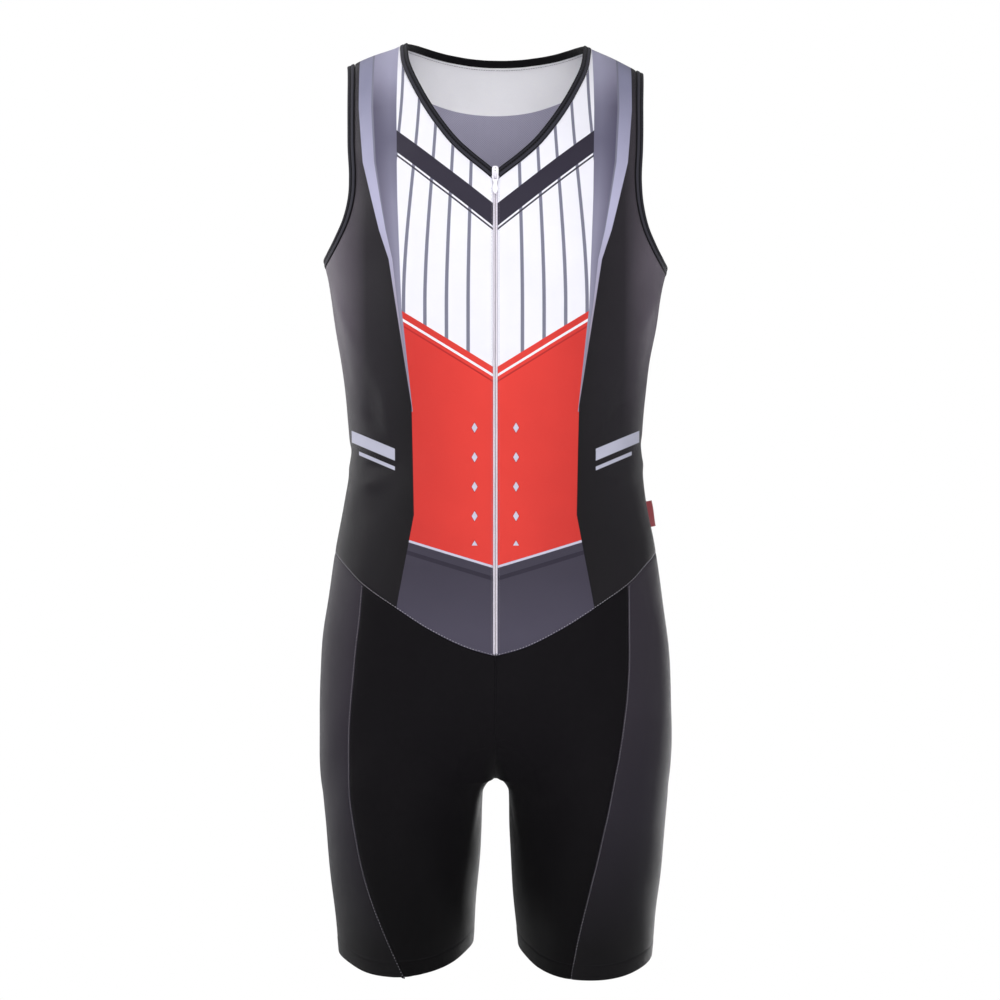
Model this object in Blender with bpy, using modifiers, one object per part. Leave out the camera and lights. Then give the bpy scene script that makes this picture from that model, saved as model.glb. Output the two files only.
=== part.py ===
"""Sleeveless cycling skinsuit in its worn shape: cloth walls, bindings, front zip and side label.

Frame: metres, +Z up. The front faces -Y and +X is the wearer's left. The origin is the point
midway between the shoulders at the height of the shoulder seams' middle, where a wearer carries it.

A point of the cloth is named by two numbers, turn and run:
    turn   how far round from the centre front: 0 centre front, 0.5 side, 1 centre back;
           below the crotch it goes round each leg: 0 inseam, 0.25 front, 0.5 outside, 0.75 back
    run    height, and above the underarm the length along the cloth up to the shoulder seam
All cloth pieces are cut out of this one form, so that their edges meet along the seams.
"""
import math

import bmesh
import bpy
import numpy as np
from mathutils import Matrix, Vector

MM = 0.001

# cloth and seams
CLOTH = 1.5 * MM            # wall thickness
SEAM_GAP = 0.3 * MM         # clear width of a seam between two pieces
UNDERARM = -204 * MM        # height where the trunk ends and the straps begin
STRAP_RUN = 314 * MM        # cloth length from the underarm level to the shoulder seam
SHOULDER_RUN = UNDERARM + STRAP_RUN
SHOULDER_Y = 4 * MM         # the shoulder seam lies a little behind the middle
FORK_TOP = -596 * MM        # where the trunk starts to part into two legs
CROTCH = -691.5 * MM
ARCH_RISE = 16 * MM         # height of the arch between the inseams
FORK_FADE = 70 * MM         # the parting ends this far below the crotch on the legs' outer sides
FORK_TURN = 0.06            # share of the turn that the sharp parting keeps to
GAP_FROM, GAP_FADE = -660 * MM, 70 * MM   # where, and how gently, the legs draw apart
FRONT_POWER, BACK_POWER = 0.78, 0.80            # fullness of the trunk's section, 1 is an ellipse
FRONT_STRAP_POWER, BACK_STRAP_POWER = 1.12, 0.78  # how late the cloth turns over the shoulder
TILT = 0.021                # the worn suit's left shoulder is lower: fall per length across
TILT_FROM, TILT_FULL = -388 * MM, -200 * MM

# bindings
BINDING_WIDTH = 8.0 * MM
BINDING_PROUD = 0.6 * MM    # outer face above the cloth
BINDING_BACK = 1.8 * MM     # inner face below the cloth's outer face
BINDING_ROUND = 0.7 * MM
BINDING_FROM_ZIP = 4.2 * MM  # the neck binding is cut off this far from the centre

# zip
FRONT_EDGE = 2.1 * MM       # the fronts' edges, each side of the centre
CHAIN_HALF = 1.75 * MM
CHAIN_PROUD = 0.5 * MM
CHAIN_TOP, CHAIN_FOOT = -135.5 * MM, -567.5 * MM
TAPE_FROM, TAPE_TO = 0.4 * MM, 13 * MM
TAPE_DEPTH, TAPE_THICK = 2.0 * MM, 1.0 * MM
TAPE_TOP = -146 * MM

# side label
LABEL_RUN = -440 * MM
LABEL_SIZE = (10 * MM, 25 * MM, 1.2 * MM)
LABEL_SWING = math.radians(56)   # it stands out sideways and leans to the back
LABEL_CLEAR = 1.5 * MM           # from the seam

# cells of each piece's mesh
NECK_CELLS, SHOULDER_CELLS = 10, 4
SIDE_CELLS, ARMHOLE_CELLS = 7, 14
LEG_FRONT_CELLS, LEG_SIDE_CELLS = 8, 6   # across; the front's and back's waist takes both
INSEAM_CELLS, FORK_CELLS = 5, 8          # up the leg: hem to crotch, crotch to waist
CHAIN_CELLS = 18


def table(columns, *rows):
    """A table of millimetres, by column name, in metres; turn is a share and stays as it is."""
    values = np.array(rows, float).T
    return {name: v if name == "turn" else v * MM for name, v in zip(columns.split(), values)}


TRUNK = table(
    "run half_width front back",
    (110, 171.0, 112, 110),
    (-60, 171.0, 112, 110),
    (-150, 169.5, 112, 110),
    (-185, 167.4, 112, 110),
    (-204, 164.4, 112, 110),
    (-220, 160.8, 113, 109),
    (-240, 157.3, 114, 107),
    (-300, 147.2, 110, 95),
    (-345, 141.6, 104, 86),
    (-388, 139.5, 100, 81),
    (-430, 144.5, 99, 85),
    (-475, 152.6, 99, 97),
    (-530, 161.5, 98, 114),
    (-590, 167.5, 96, 121),
    (-640, 169.0, 94, 120),
    (-694, 167.3, 91, 110),
    (-740, 162.8, 88, 98),
    (-790, 157.2, 84, 88),
    (-870, 148.5, 76, 78),
    (-920, 143.0, 71, 73),
)
LEG = table(
    "run inner front back",
    (-560, 0.0, 98, 108),
    (-640, 0.0, 97, 111),
    (-694, 11.0, 94, 104),
    (-740, 13.0, 85, 96),
    (-800, 17.2, 81, 87),
    (-870, 23.0, 72, 77),
    (-920, 27.0, 66, 72),
)
SHOULDER_LINE = table(
    "across top", (0, 34), (45, 29), (70, 20), (90, 9), (115, -1), (135, -10.3), (175, -30)
)

# seams and edges, each from its first end to its last
NECK_FRONT = table(
    "turn run", (0.004, -143.5), (0.020, -137), (0.046, -126.5), (0.075, -112.5), (0.105, -91),
    (0.133, -63), (0.155, -31), (0.170, 2), (0.178, 50), (0.181, 110),
)
NECK_BACK = table(
    "turn run", (1, 3.5), (0.972, 5.5), (0.945, 8.8), (0.917, 15.9), (0.888, 28.7), (0.859, 49.7),
    (0.839, 73.6), (0.819, 110),
)
SHOULDER = table("turn run", (0.181, 110), (0.291, 110))
ARMHOLE_FRONT = table(
    "turn run", (0.5, -209), (0.455, -208.3), (0.413, -205), (0.340, -188), (0.3023, -170),
    (0.280, -144), (0.276, -125), (0.279, -86), (0.2825, -21), (0.291, 110),
)
ARMHOLE_BACK = table(
    "turn run", (0.5, -209), (0.555, -208), (0.605, -202), (0.660, -182), (0.695, -155),
    (0.713, -120), (0.714, -80), (0.712, -20), (0.709, 110),
)
WAIST_FRONT = table(
    "turn run", (0, -570), (0.045, -563.5), (0.115, -547.5), (0.190, -527.5), (0.285, -505.5),
    (0.360, -489.5), (0.430, -480), (0.5, -475),
)
WAIST_BACK = table("turn run", (1, -488), (0.86, -486), (0.715, -481), (0.6, -477), (0.5, -475))
SIDE_SEAM_FRONT = {
    "right": table(
        "turn run", (0.285, -505.5), (0.283, -542), (0.286, -575), (0.291, -603), (0.303, -627),
        (0.318, -650), (0.3315, -673), (0.3402, -696), (0.3434, -719), (0.341, -752), (0.322, -788),
        (0.292, -825), (0.245, -871.8),
    ),
    "left": table(
        "turn run", (0.285, -505.5), (0.275, -542), (0.267, -575), (0.260, -603), (0.260, -626),
        (0.2648, -649), (0.2702, -672), (0.2722, -694), (0.2719, -717), (0.267, -750), (0.250, -787),
        (0.230, -824.5), (0.208, -869.5),
    ),
}
SIDE_SEAM_BACK = table(
    "turn run", (0.715, -481), (0.725, -560), (0.720, -630), (0.700, -700), (0.692, -750),
    (0.715, -800), (0.760, -847),
)
HEM = {
    "right": table(
        "turn run", (0, -849), (0.06, -852.8), (0.12, -860.2), (0.19, -866.2), (0.26, -868.7),
        (0.34, -867.5), (0.42, -860.8), (0.5, -857), (0.62, -853), (0.76, -850), (0.88, -848.8), (1, -849),
    ),
    "left": table(
        "turn run", (0, -851.5), (0.06, -857), (0.12, -865.5), (0.19, -871.6), (0.26, -873.2),
        (0.34, -871.2), (0.42, -866), (0.5, -860), (0.62, -855), (0.76, -851.5), (0.88, -850.5), (1, -851.5),
    ),
}
WAIST_JOIN_FRONT, WAIST_JOIN_BACK = 0.285, 0.715   # turn where the leg's side seams start

# slider and pull, in their own frame: across, up along the cloth, out from it
SLIDER_WIDTH = 6.2 * MM
SLIDER_RUN = -138.2 * MM    # run of the slider's middle
SLIDER_PROFILE = table(     # side outline: two plates joined by a post above the chain's end
    "up out", (-6.2, 0.9), (-6.2, 2.1), (5.4, 2.1), (6.2, 1.3), (6.2, -2.2), (5.4, -3.0),
    (-5.4, -3.0), (-5.4, -2.0), (3.6, -2.0), (3.6, 0.9),
)
ARCH_WIDTH = 2.0 * MM
ARCH_PROFILE = table(       # side outline of the arch that holds the pull
    "up out", (-5.6, 1.6), (-5.6, 4.4), (-4.9, 5.2), (-1.4, 5.2), (-0.7, 4.4), (-0.7, 1.6),
    (-1.7, 1.6), (-1.7, 4.0), (-2.0, 4.3), (-4.3, 4.3), (-4.6, 4.0), (-4.6, 1.6),
)
PIVOT_UP, PIVOT_OUT = -3.15 * MM, 3.2 * MM
PULL_THICK = 1.2 * MM
PULL_TIP = 0.35 * MM
PULL_EDGE = table(          # half outline of the leaf, from its bar down to its tip
    "down half", (-0.6, 1.7), (0.1, 2.4), (4.6, 2.4), (7.0, 1.6), (9.5, 1.9), (12.5, 2.5),
    (15.5, 2.0), (17.6, 0.9),
)
PULL_STEPS = 22
PULL_SLOT = (0.6 * MM, 4.2 * MM, 1.5 * MM)   # from, to, half width


def smooth(at, keys, values):
    """A column's values at `at`, on a smooth curve through the rows."""
    if keys[0] > keys[-1]:
        keys, values = keys[::-1], values[::-1]
    slopes = np.gradient(values, keys)
    at = np.clip(at, keys[0], keys[-1])
    row = np.clip(np.searchsorted(keys, at) - 1, 0, len(keys) - 2)
    span = keys[row + 1] - keys[row]
    t = (at - keys[row]) / span
    start = (1 + 2 * t) * (1 - t) ** 2 * values[row] + t * (1 - t) ** 2 * span * slopes[row]
    end = t ** 2 * (3 - 2 * t) * values[row + 1] + t ** 2 * (t - 1) * span * slopes[row + 1]
    return start + end


def column(rows, name, run):
    return smooth(run, rows["run"], rows[name])


def ease(t):
    t = np.clip(t, 0, 1)
    return t * t * (3 - 2 * t)


def across(turn, run):
    return column(TRUNK, "half_width", run) * np.sin(math.pi * turn)


def depth(turn, run):
    """How far the trunk's section lies before (-) or behind (+) the middle."""
    side = np.cos(math.pi * turn)
    front = -column(TRUNK, "front", run) * np.abs(side) ** FRONT_POWER
    back = column(TRUNK, "back", run) * np.abs(side) ** BACK_POWER
    return np.where(side > 0, front, back)


def trunk(turn, run):
    return np.stack([across(turn, run), depth(turn, run), run + 0 * turn], -1)


def leg(turn, run):
    """An ellipse round the left leg, whose inner side opens from the crotch in a small arch."""
    outer = column(TRUNK, "half_width", run)
    drop = np.clip((CROTCH - run) / ARCH_RISE, 0, 1)
    inseam = column(LEG, "inner", run) * np.sqrt(1 - (1 - drop) ** 2)
    inner = column(LEG, "inner", run) * ease((GAP_FROM - run) / GAP_FADE)
    near = np.exp(-(np.minimum(turn, 1 - turn) / FORK_TURN) ** 2)
    front, back = column(LEG, "front", run), column(LEG, "back", run)
    x = (outer + inner) / 2 - (outer - inner) / 2 * np.cos(2 * math.pi * turn) + (inseam - inner) * near
    y = (back - front) / 2 - (front + back) / 2 * np.sin(2 * math.pi * turn)
    return np.stack([x, y, run + 0 * turn], -1)


def leg_share(turn, run):
    """0 on the trunk, 1 on the leg: sudden at the centre seam, gradual on the outer side."""
    away = 1 - np.exp(-(np.minimum(turn, 1 - turn) / FORK_TURN) ** 2)
    t = np.clip((FORK_TOP - run) / (FORK_TOP - CROTCH + FORK_FADE * away), 0, 1)
    return (1 - np.sqrt(1 - t * t)) * (1 - away) + ease(t) * away


def strap(turn, run):
    """Above the underarm the cloth rolls over to the shoulder line."""
    angle = (run - UNDERARM) / STRAP_RUN * math.pi / 2
    x = across(turn, run)
    top = smooth(x, SHOULDER_LINE["across"], SHOULDER_LINE["top"])
    power = np.where(turn < 0.5, FRONT_STRAP_POWER, BACK_STRAP_POWER)
    level = np.clip(np.cos(angle), 0, 1) ** power
    y = SHOULDER_Y + (depth(turn, np.minimum(run, UNDERARM)) - SHOULDER_Y) * level
    return np.stack([x, y, UNDERARM + (top - UNDERARM) * np.sin(angle)], -1)


def form(turn, run):
    """Points of the cloth's outer face on the wearer's left half."""
    turn, run = np.broadcast_arrays(np.asarray(turn, float), np.asarray(run, float))
    share = leg_share(turn, run)[..., None]
    below = trunk(turn, run) * (1 - share) + leg(turn, run) * share
    return np.where((run > UNDERARM)[..., None], strap(turn, np.maximum(run, UNDERARM)), below)


def unit(v):
    return v / np.linalg.norm(v, axis=-1, keepdims=True)


def form_normals(turn, run):
    """Outward normals; on the seams that two halves share they lie in the seam's own plane."""
    turn, run = np.broadcast_arrays(np.asarray(turn, float), np.asarray(run, float))
    dt, dr = 0.002, 0.6 * MM
    high = np.minimum(run + dr, SHOULDER_RUN)
    round_it = form(turn + dt, run) - form(turn - dt, run)
    along_it = form(turn, high) - form(turn, run - dr)
    normals = np.cross(round_it, along_it)
    edge = 1e-6
    centre = (turn < edge) | (turn > 1 - edge)
    up = form(turn, high) - form(turn, run)
    sign = np.where(turn < 0.5, -1.0, 1.0)
    crotch_seam = np.stack([0 * turn, sign * up[..., 2], -sign * up[..., 1]], -1)
    down = form(turn, run - dr) - form(turn, run)
    inseam = np.stack([down[..., 2], 0 * turn, -down[..., 0]], -1)
    fork = centre & (run < FORK_TOP)
    normals = np.where((fork & (run > CROTCH + edge))[..., None], crotch_seam, normals)
    normals = np.where((fork & (run <= CROTCH + edge))[..., None], inseam, normals)
    x = across(turn, run)
    line = SHOULDER_LINE
    fall = smooth(x + MM, line["across"], line["top"]) - smooth(x - MM, line["across"], line["top"])
    shoulder = np.stack([-fall, 0 * turn, 2 * MM + 0 * turn], -1)
    normals = np.where((run > SHOULDER_RUN - edge)[..., None], shoulder, normals)
    return unit(normals)


def worn(points):
    """The worn suit's stance: its shoulders are not quite level."""
    share = ease((points[..., 2] - TILT_FROM) / (TILT_FULL - TILT_FROM))
    tilted = points.copy()
    tilted[..., 2] -= TILT * points[..., 0] * share
    return tilted


def mirrored(points):
    return points * np.array([-1.0, 1.0, 1.0])


def polyline(rows, per_row=40):
    """Many (turn, run) points on a smooth curve through a seam's rows."""
    turn, run = rows["turn"], rows["run"]
    steps = np.hypot(np.diff(turn) * math.pi * TRUNK["half_width"][0], np.diff(run))
    at = np.concatenate([[0], np.cumsum(steps)])
    if len(turn) == 2:
        fine = np.linspace(0, 1, per_row)
        return np.stack([turn[0] + fine * (turn[1] - turn[0]), run[0] + fine * (run[1] - run[0])], -1)
    fine = np.linspace(0, at[-1], per_row * len(at))
    return np.stack([smooth(fine, at, turn), smooth(fine, at, run)], -1)


def cells(points, count):
    """The points that cut a polyline into `count` stretches of equal length on the cloth."""
    solid = form(points[:, 0], points[:, 1])
    at = np.concatenate([[0], np.cumsum(np.linalg.norm(np.diff(solid, axis=0), axis=1))])
    marks = np.linspace(0, at[-1], count + 1)
    return np.stack([np.interp(marks, at, points[:, k]) for k in range(2)], -1)


def level(rows, turn):
    """Run of a seam that crosses the piece, at a turn."""
    return smooth(turn, rows["turn"], rows["run"])


def stretch(rows, first, last, points=80):
    turn = np.linspace(first, last, points)
    return np.stack([turn, level(rows, turn)], -1)


def upright(turn, low, high, points=200, finer_at_low=False, finer_at_high=False):
    """A line of one turn, from a low run to a high one."""
    share = np.linspace(0, 1, points)
    if finer_at_low:
        share = share ** 2
    if finer_at_high:
        share = 1 - (1 - share) ** 2
    return np.stack([turn + 0 * share, low + (high - low) * share], -1)


def turn_at(x, run):
    """Turn of the point this far across."""
    return np.arcsin(x / column(TRUNK, "half_width", run)) / math.pi


def chain_of(*stretches):
    """Stretches end to end, without their doubled joints."""
    return np.vstack([stretches[0]] + [stretch[1:] for stretch in stretches[1:]])


def patch(centre, side, foot, head):
    """A grid of (turn, run) inside four edges: centre and side run up, foot and head run outward."""
    v = np.linspace(0, 1, len(centre))[:, None, None]
    u = np.linspace(0, 1, len(foot))[None, :, None]
    ruled = (1 - u) * centre[:, None] + u * side[:, None] + (1 - v) * foot[None] + v * head[None]
    corners = (1 - v) * ((1 - u) * foot[0] + u * foot[-1]) + v * ((1 - u) * head[0] + u * head[-1])
    return ruled - corners


def drawn_in(points, normals):
    """The grid with its four edges moved inward by half a seam's gap."""
    moved = points.copy()
    rows = [(np.s_[0], np.s_[1]), (np.s_[-1], np.s_[-2])]
    columns = [(np.s_[:, 0], np.s_[:, 1]), (np.s_[:, -1], np.s_[:, -2])]
    for edge, inside in rows + columns:
        way = unit(np.cross(normals[edge], np.gradient(points[edge], axis=0)))
        sign = np.sign(np.sum(way * (points[inside] - points[edge]), -1, keepdims=True))
        moved[edge] += way * sign * SEAM_GAP / 2
    return moved


def wall(outer, inner):
    """Vertices and faces of a closed wall between two grids of points."""
    rows, columns = outer.shape[:2]
    index = np.arange(rows * columns).reshape(rows, columns)
    below = rows * columns
    faces = []
    for r in range(rows - 1):
        for c in range(columns - 1):
            face = [index[r, c], index[r, c + 1], index[r + 1, c + 1], index[r + 1, c]]
            faces += [face, [i + below for i in reversed(face)]]
    for side in (index[0, :], index[:, -1], index[-1, ::-1], index[::-1, 0]):
        faces += [[a, a + below, b + below, b] for a, b in zip(side, side[1:])]
    return np.vstack([outer.reshape(-1, 3), inner.reshape(-1, 3)]), faces


def sweep(sections, closed):
    """Vertices and faces of a bar through sections that have the same number of points."""
    stations, sides = sections.shape[:2]
    faces = []
    for s in range(stations if closed else stations - 1):
        here, there = s * sides, (s + 1) % stations * sides
        for k in range(sides):
            n = (k + 1) % sides
            faces.append([here + k, here + n, there + n, there + k])
    if not closed:
        faces += [list(range(sides)), list(range((stations - 1) * sides, stations * sides))]
    return sections.reshape(-1, 3), faces


# ---------------------------------------------------------------- objects

suit = bpy.data.collections.new("cycling_skinsuit")
helpers = bpy.data.collections.new("helpers")


def clear_scene():
    for thing in list(bpy.data.objects):
        bpy.data.objects.remove(thing, do_unlink=True)
    bpy.context.scene.collection.children.link(suit)
    bpy.context.scene.collection.children.link(helpers)


def material(name, colour, roughness, metallic=0.0):
    made = bpy.data.materials.new(name)
    made.use_nodes = True
    shader = made.node_tree.nodes["Principled BSDF"]
    shader.inputs["Base Color"].default_value = (*colour, 1)
    shader.inputs["Roughness"].default_value = roughness
    shader.inputs["Metallic"].default_value = metallic
    return made


def mesh_object(name, points, faces, finish, smooth_below=40):
    mesh = bpy.data.meshes.new(name)
    mesh.from_pydata([tuple(map(float, p)) for p in points], [], [tuple(map(int, f)) for f in faces])
    bm = bmesh.new()
    bm.from_mesh(mesh)
    bmesh.ops.recalc_face_normals(bm, faces=bm.faces)
    bm.to_mesh(mesh)
    bm.free()
    mesh.materials.append(finish)
    mesh.shade_smooth()
    mesh.set_sharp_from_angle(angle=math.radians(smooth_below))
    made = bpy.data.objects.new(name, mesh)
    suit.objects.link(made)
    return made


def cloth_piece(name, side, grid, finish, whole=False):
    """A wall of cloth over a grid of (turn, run); a whole piece also takes the mirrored half."""
    outer = form(grid[..., 0], grid[..., 1])
    normals = form_normals(grid[..., 0], grid[..., 1])
    if whole:
        outer = np.concatenate([mirrored(outer[:, :0:-1]), outer], 1)
        normals = np.concatenate([mirrored(normals[:, :0:-1]), normals], 1)
    outer = drawn_in(outer, normals)
    inner = outer - normals * CLOTH
    if side == "right":
        outer, inner = mirrored(outer), mirrored(inner)
    return mesh_object(name, *wall(worn(outer), worn(inner)), finish)


# ---------------------------------------------------------------- edges of the pieces

NECK_LINE_FRONT = cells(polyline(NECK_FRONT), NECK_CELLS)
NECK_LINE_BACK = cells(polyline(NECK_BACK), NECK_CELLS)
ARMHOLE_LINE_FRONT = cells(polyline(ARMHOLE_FRONT), ARMHOLE_CELLS)
ARMHOLE_LINE_BACK = cells(polyline(ARMHOLE_BACK), ARMHOLE_CELLS)
SHOULDER_LINE_FRONT = cells(polyline(SHOULDER), SHOULDER_CELLS)
SHOULDER_LINE_BACK = SHOULDER_LINE_FRONT * [-1, 1] + [1, 0]
SIDE_LINE = cells(upright(0.5, -475 * MM, UNDERARM - 5 * MM), SIDE_CELLS)


def waist_line(rows, centre, join):
    """The waist seam from the centre over the leg's side seam to the trunk's side."""
    legward = cells(stretch(rows, centre, join), LEG_FRONT_CELLS)
    return chain_of(legward, cells(stretch(rows, join, 0.5), LEG_SIDE_CELLS))


WAIST_LINE_FRONT = waist_line(WAIST_FRONT, 0, WAIST_JOIN_FRONT)
WAIST_LINE_BACK = waist_line(WAIST_BACK, 1, WAIST_JOIN_BACK)


def trunk_front():
    foot = WAIST_LINE_FRONT.copy()
    foot[0] += (foot[1] - foot[0]) * turn_at(FRONT_EDGE, foot[0, 1]) / foot[1, 0]
    side = chain_of(SIDE_LINE, ARMHOLE_LINE_FRONT)
    head = chain_of(NECK_LINE_FRONT, SHOULDER_LINE_FRONT)
    run = cells(upright(0, foot[0, 1], head[0, 1]), len(side) - 1)[:, 1]
    centre = np.stack([turn_at(FRONT_EDGE, run), run], -1)
    head[0] = centre[-1]
    return patch(centre, side, foot, head)


def trunk_back():
    side = chain_of(SIDE_LINE, ARMHOLE_LINE_BACK)
    head = chain_of(NECK_LINE_BACK, SHOULDER_LINE_BACK)
    centre = cells(upright(1, WAIST_LINE_BACK[0, 1], head[0, 1]), len(side) - 1)
    return patch(centre, side, WAIST_LINE_BACK, head)


def centre_line(side, turn, waist):
    """From the hem up the inseam to the crotch, and on up the centre seam to the waist."""
    inseam = cells(upright(turn, level(HEM[side], turn), CROTCH, finer_at_high=True), INSEAM_CELLS)
    return chain_of(inseam, cells(upright(turn, CROTCH, waist, finer_at_low=True), FORK_CELLS))


def leg_seam(side, rows, waist):
    """A side seam of the leg, from the hem up to the waist seam."""
    points = polyline(rows)[::-1]
    points[0, 1], points[-1, 1] = level(HEM[side], points[0, 0]), level(waist, points[-1, 0])
    return cells(points, INSEAM_CELLS + FORK_CELLS)


def leg_front(side):
    seam = leg_seam(side, SIDE_SEAM_FRONT[side], WAIST_FRONT)
    centre = centre_line(side, 0, WAIST_LINE_FRONT[0, 1])
    foot = cells(stretch(HEM[side], 0, seam[0, 0]), LEG_FRONT_CELLS)
    return patch(centre, seam, foot, WAIST_LINE_FRONT[:LEG_FRONT_CELLS + 1])


def leg_back(side):
    seam = leg_seam(side, SIDE_SEAM_BACK, WAIST_BACK)
    centre = centre_line(side, 1, WAIST_LINE_BACK[0, 1])
    foot = cells(stretch(HEM[side], 1, seam[0, 0]), LEG_FRONT_CELLS)
    return patch(centre, seam, foot, WAIST_LINE_BACK[:LEG_FRONT_CELLS + 1])


def leg_side(side):
    front = leg_seam(side, SIDE_SEAM_FRONT[side], WAIST_FRONT)
    back = leg_seam(side, SIDE_SEAM_BACK, WAIST_BACK)
    foot = cells(stretch(HEM[side], front[0, 0], back[0, 0]), 2 * LEG_SIDE_CELLS)
    head = chain_of(WAIST_LINE_FRONT[LEG_FRONT_CELLS:], WAIST_LINE_BACK[:LEG_FRONT_CELLS - 1:-1])
    return patch(front, back, foot, head)


# ---------------------------------------------------------------- bindings


def binding_section():
    """Section of a binding: distance from the cloth's edge, and height over its outer face."""
    near, far = SEAM_GAP / 2, BINDING_WIDTH
    low, high, r = -BINDING_BACK, BINDING_PROUD, BINDING_ROUND
    return np.array([
        (near + r, high), (far - r, high), (far, high - r), (far, low + r),
        (far - r, low), (near + r, low), (near, low + r), (near, high - r),
    ])


def binding(name, points, normals, closed, finish):
    """A strip along an edge of the cloth; its open ends are cut upright beside the zip."""
    if closed:
        way = np.roll(points, -1, axis=0) - np.roll(points, 1, axis=0)
    else:
        way = np.gradient(points, axis=0)
    way = unit(way)
    out = unit(np.cross(normals, way))
    lift = normals.copy()
    if not closed:
        for end in (0, -1):
            out[end] -= way[end] * out[end, 0] / way[end, 0]
            lift[end] -= way[end] * lift[end, 0] / way[end, 0]
    inward, up = binding_section().T[:, :, None]
    sections = points[:, None] + inward * out[:, None] + up * lift[:, None]
    return mesh_object(name, *sweep(worn(sections), closed), finish)


def edge_points(line):
    return form(line[:, 0], line[:, 1]), form_normals(line[:, 0], line[:, 1])


def neck_binding(finish):
    line = chain_of(NECK_LINE_FRONT, NECK_LINE_BACK[::-1])
    points, normals = edge_points(line)
    share = (BINDING_FROM_ZIP - points[0, 0]) / (points[1, 0] - points[0, 0])
    points[0] += (points[1] - points[0]) * share
    points = np.vstack([points, mirrored(points[-2::-1])])
    normals = np.vstack([normals, mirrored(normals[-2::-1])])
    return binding("neck_binding", points, normals, False, finish)


def armhole_binding(side, finish):
    line = chain_of(ARMHOLE_LINE_BACK, ARMHOLE_LINE_FRONT[::-1])[:-1]
    points, normals = edge_points(line)
    if side == "right":
        points, normals = mirrored(points)[::-1], mirrored(normals)[::-1]
    return binding("armhole_binding_" + side, points, normals, True, finish)


# ---------------------------------------------------------------- zip


def strip(name, sides, runs, faces_at, finish):
    """An upright strip of the form between two distances across, and between two depths."""
    run = np.linspace(*runs, CHAIN_CELLS + 1)[:, None]
    x = np.linspace(*sides, 3)[None, :]
    turn = turn_at(x, run)
    run = run + 0 * x
    points, normals = form(turn, run), form_normals(turn, run)
    outer, inner = (worn(points + normals * height) for height in faces_at)
    return mesh_object(name, *wall(outer, inner), finish)


def zip_frame():
    """Place of the slider: across, up along the cloth, out from it."""
    middle = form(0, SLIDER_RUN)
    up = Vector(form(0, SLIDER_RUN + MM) - form(0, SLIDER_RUN - MM)).normalized()
    side = Vector((1, 0, 0))
    turned = Matrix((side, up, side.cross(up))).transposed()
    return Matrix.Translation(Vector(middle)) @ turned.to_4x4()


def extruded(name, rows, width, place, collection, finish=None):
    """A side outline, up and out, given its width across."""
    bm = bmesh.new()
    corners = [bm.verts.new((-width / 2, up, out)) for up, out in zip(rows["up"], rows["out"])]
    face = bm.faces.new(corners)
    grown = bmesh.ops.extrude_face_region(bm, geom=[face])["geom"]
    moved = [v for v in grown if isinstance(v, bmesh.types.BMVert)]
    bmesh.ops.translate(bm, verts=moved, vec=(width, 0, 0))
    bmesh.ops.recalc_face_normals(bm, faces=bm.faces)
    mesh = bpy.data.meshes.new(name)
    bm.to_mesh(mesh)
    bm.free()
    if finish:
        mesh.materials.append(finish)
    made = bpy.data.objects.new(name, mesh)
    made.matrix_world = place
    collection.objects.link(made)
    return made


def soften(thing, width, segments=2):
    bevel = thing.modifiers.new("edges", "BEVEL")
    bevel.width = width
    bevel.segments = segments
    bevel.limit_method = "ANGLE"
    bevel.angle_limit = math.radians(30)


def zip_slider(place, finish):
    body = extruded("zip_slider", SLIDER_PROFILE, SLIDER_WIDTH, place, suit, finish)
    arch = extruded("zip_slider_arch", ARCH_PROFILE, ARCH_WIDTH, place, helpers)
    arch.hide_render = True
    arch.display_type = "WIRE"
    join = body.modifiers.new("arch", "BOOLEAN")
    join.operation = "UNION"
    join.object = arch
    soften(body, 0.25 * MM)
    return body


def zip_pull(place, finish):
    """A flat leaf with a slot, hung in the slider's arch by the bar above the slot."""
    outline = bpy.data.curves.new("zip_pull", "CURVE")
    outline.dimensions = "2D"
    outline.fill_mode = "BOTH"
    outline.extrude = PULL_THICK / 2
    down = np.linspace(PULL_EDGE["down"][0], PULL_EDGE["down"][-1], PULL_STEPS)
    half = smooth(down, PULL_EDGE["down"], PULL_EDGE["half"])
    tip = [(0, PULL_EDGE["down"][-1] + PULL_TIP)]
    leaf = list(zip(half, down)) + tip + list(zip(-half[::-1], down[::-1]))
    first, last, side = PULL_SLOT
    slot = [(side, first), (side, last), (-side, last), (-side, first)]
    for ring in (leaf, slot):
        spline = outline.splines.new("POLY")
        spline.points.add(len(ring) - 1)
        for point, (x, y) in zip(spline.points, ring):
            point.co = (x, -y, 0, 1)
        spline.use_cyclic_u = True
    outline.materials.append(finish)
    made = bpy.data.objects.new("zip_pull", outline)
    made.matrix_world = place @ Matrix.Translation((0, PIVOT_UP, PIVOT_OUT))
    suit.objects.link(made)
    weld = made.modifiers.new("caps", "WELD")
    weld.merge_threshold = 0.00002
    soften(made, 0.2 * MM, 1)
    return made


def zip_parts(tape, teeth, metal):
    strip("zip_chain", (-CHAIN_HALF, CHAIN_HALF), (CHAIN_FOOT, CHAIN_TOP), (CHAIN_PROUD, -CLOTH), teeth)
    for side, sign in (("left", 1), ("right", -1)):
        sides = (sign * TAPE_FROM, sign * TAPE_TO)
        depths = (-TAPE_DEPTH, -TAPE_DEPTH - TAPE_THICK)
        strip("zip_tape_" + side, sides, (CHAIN_FOOT, TAPE_TOP), depths, tape)
    frame = zip_frame()
    zip_slider(frame, metal)
    zip_pull(frame, metal)


# ---------------------------------------------------------------- label


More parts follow.
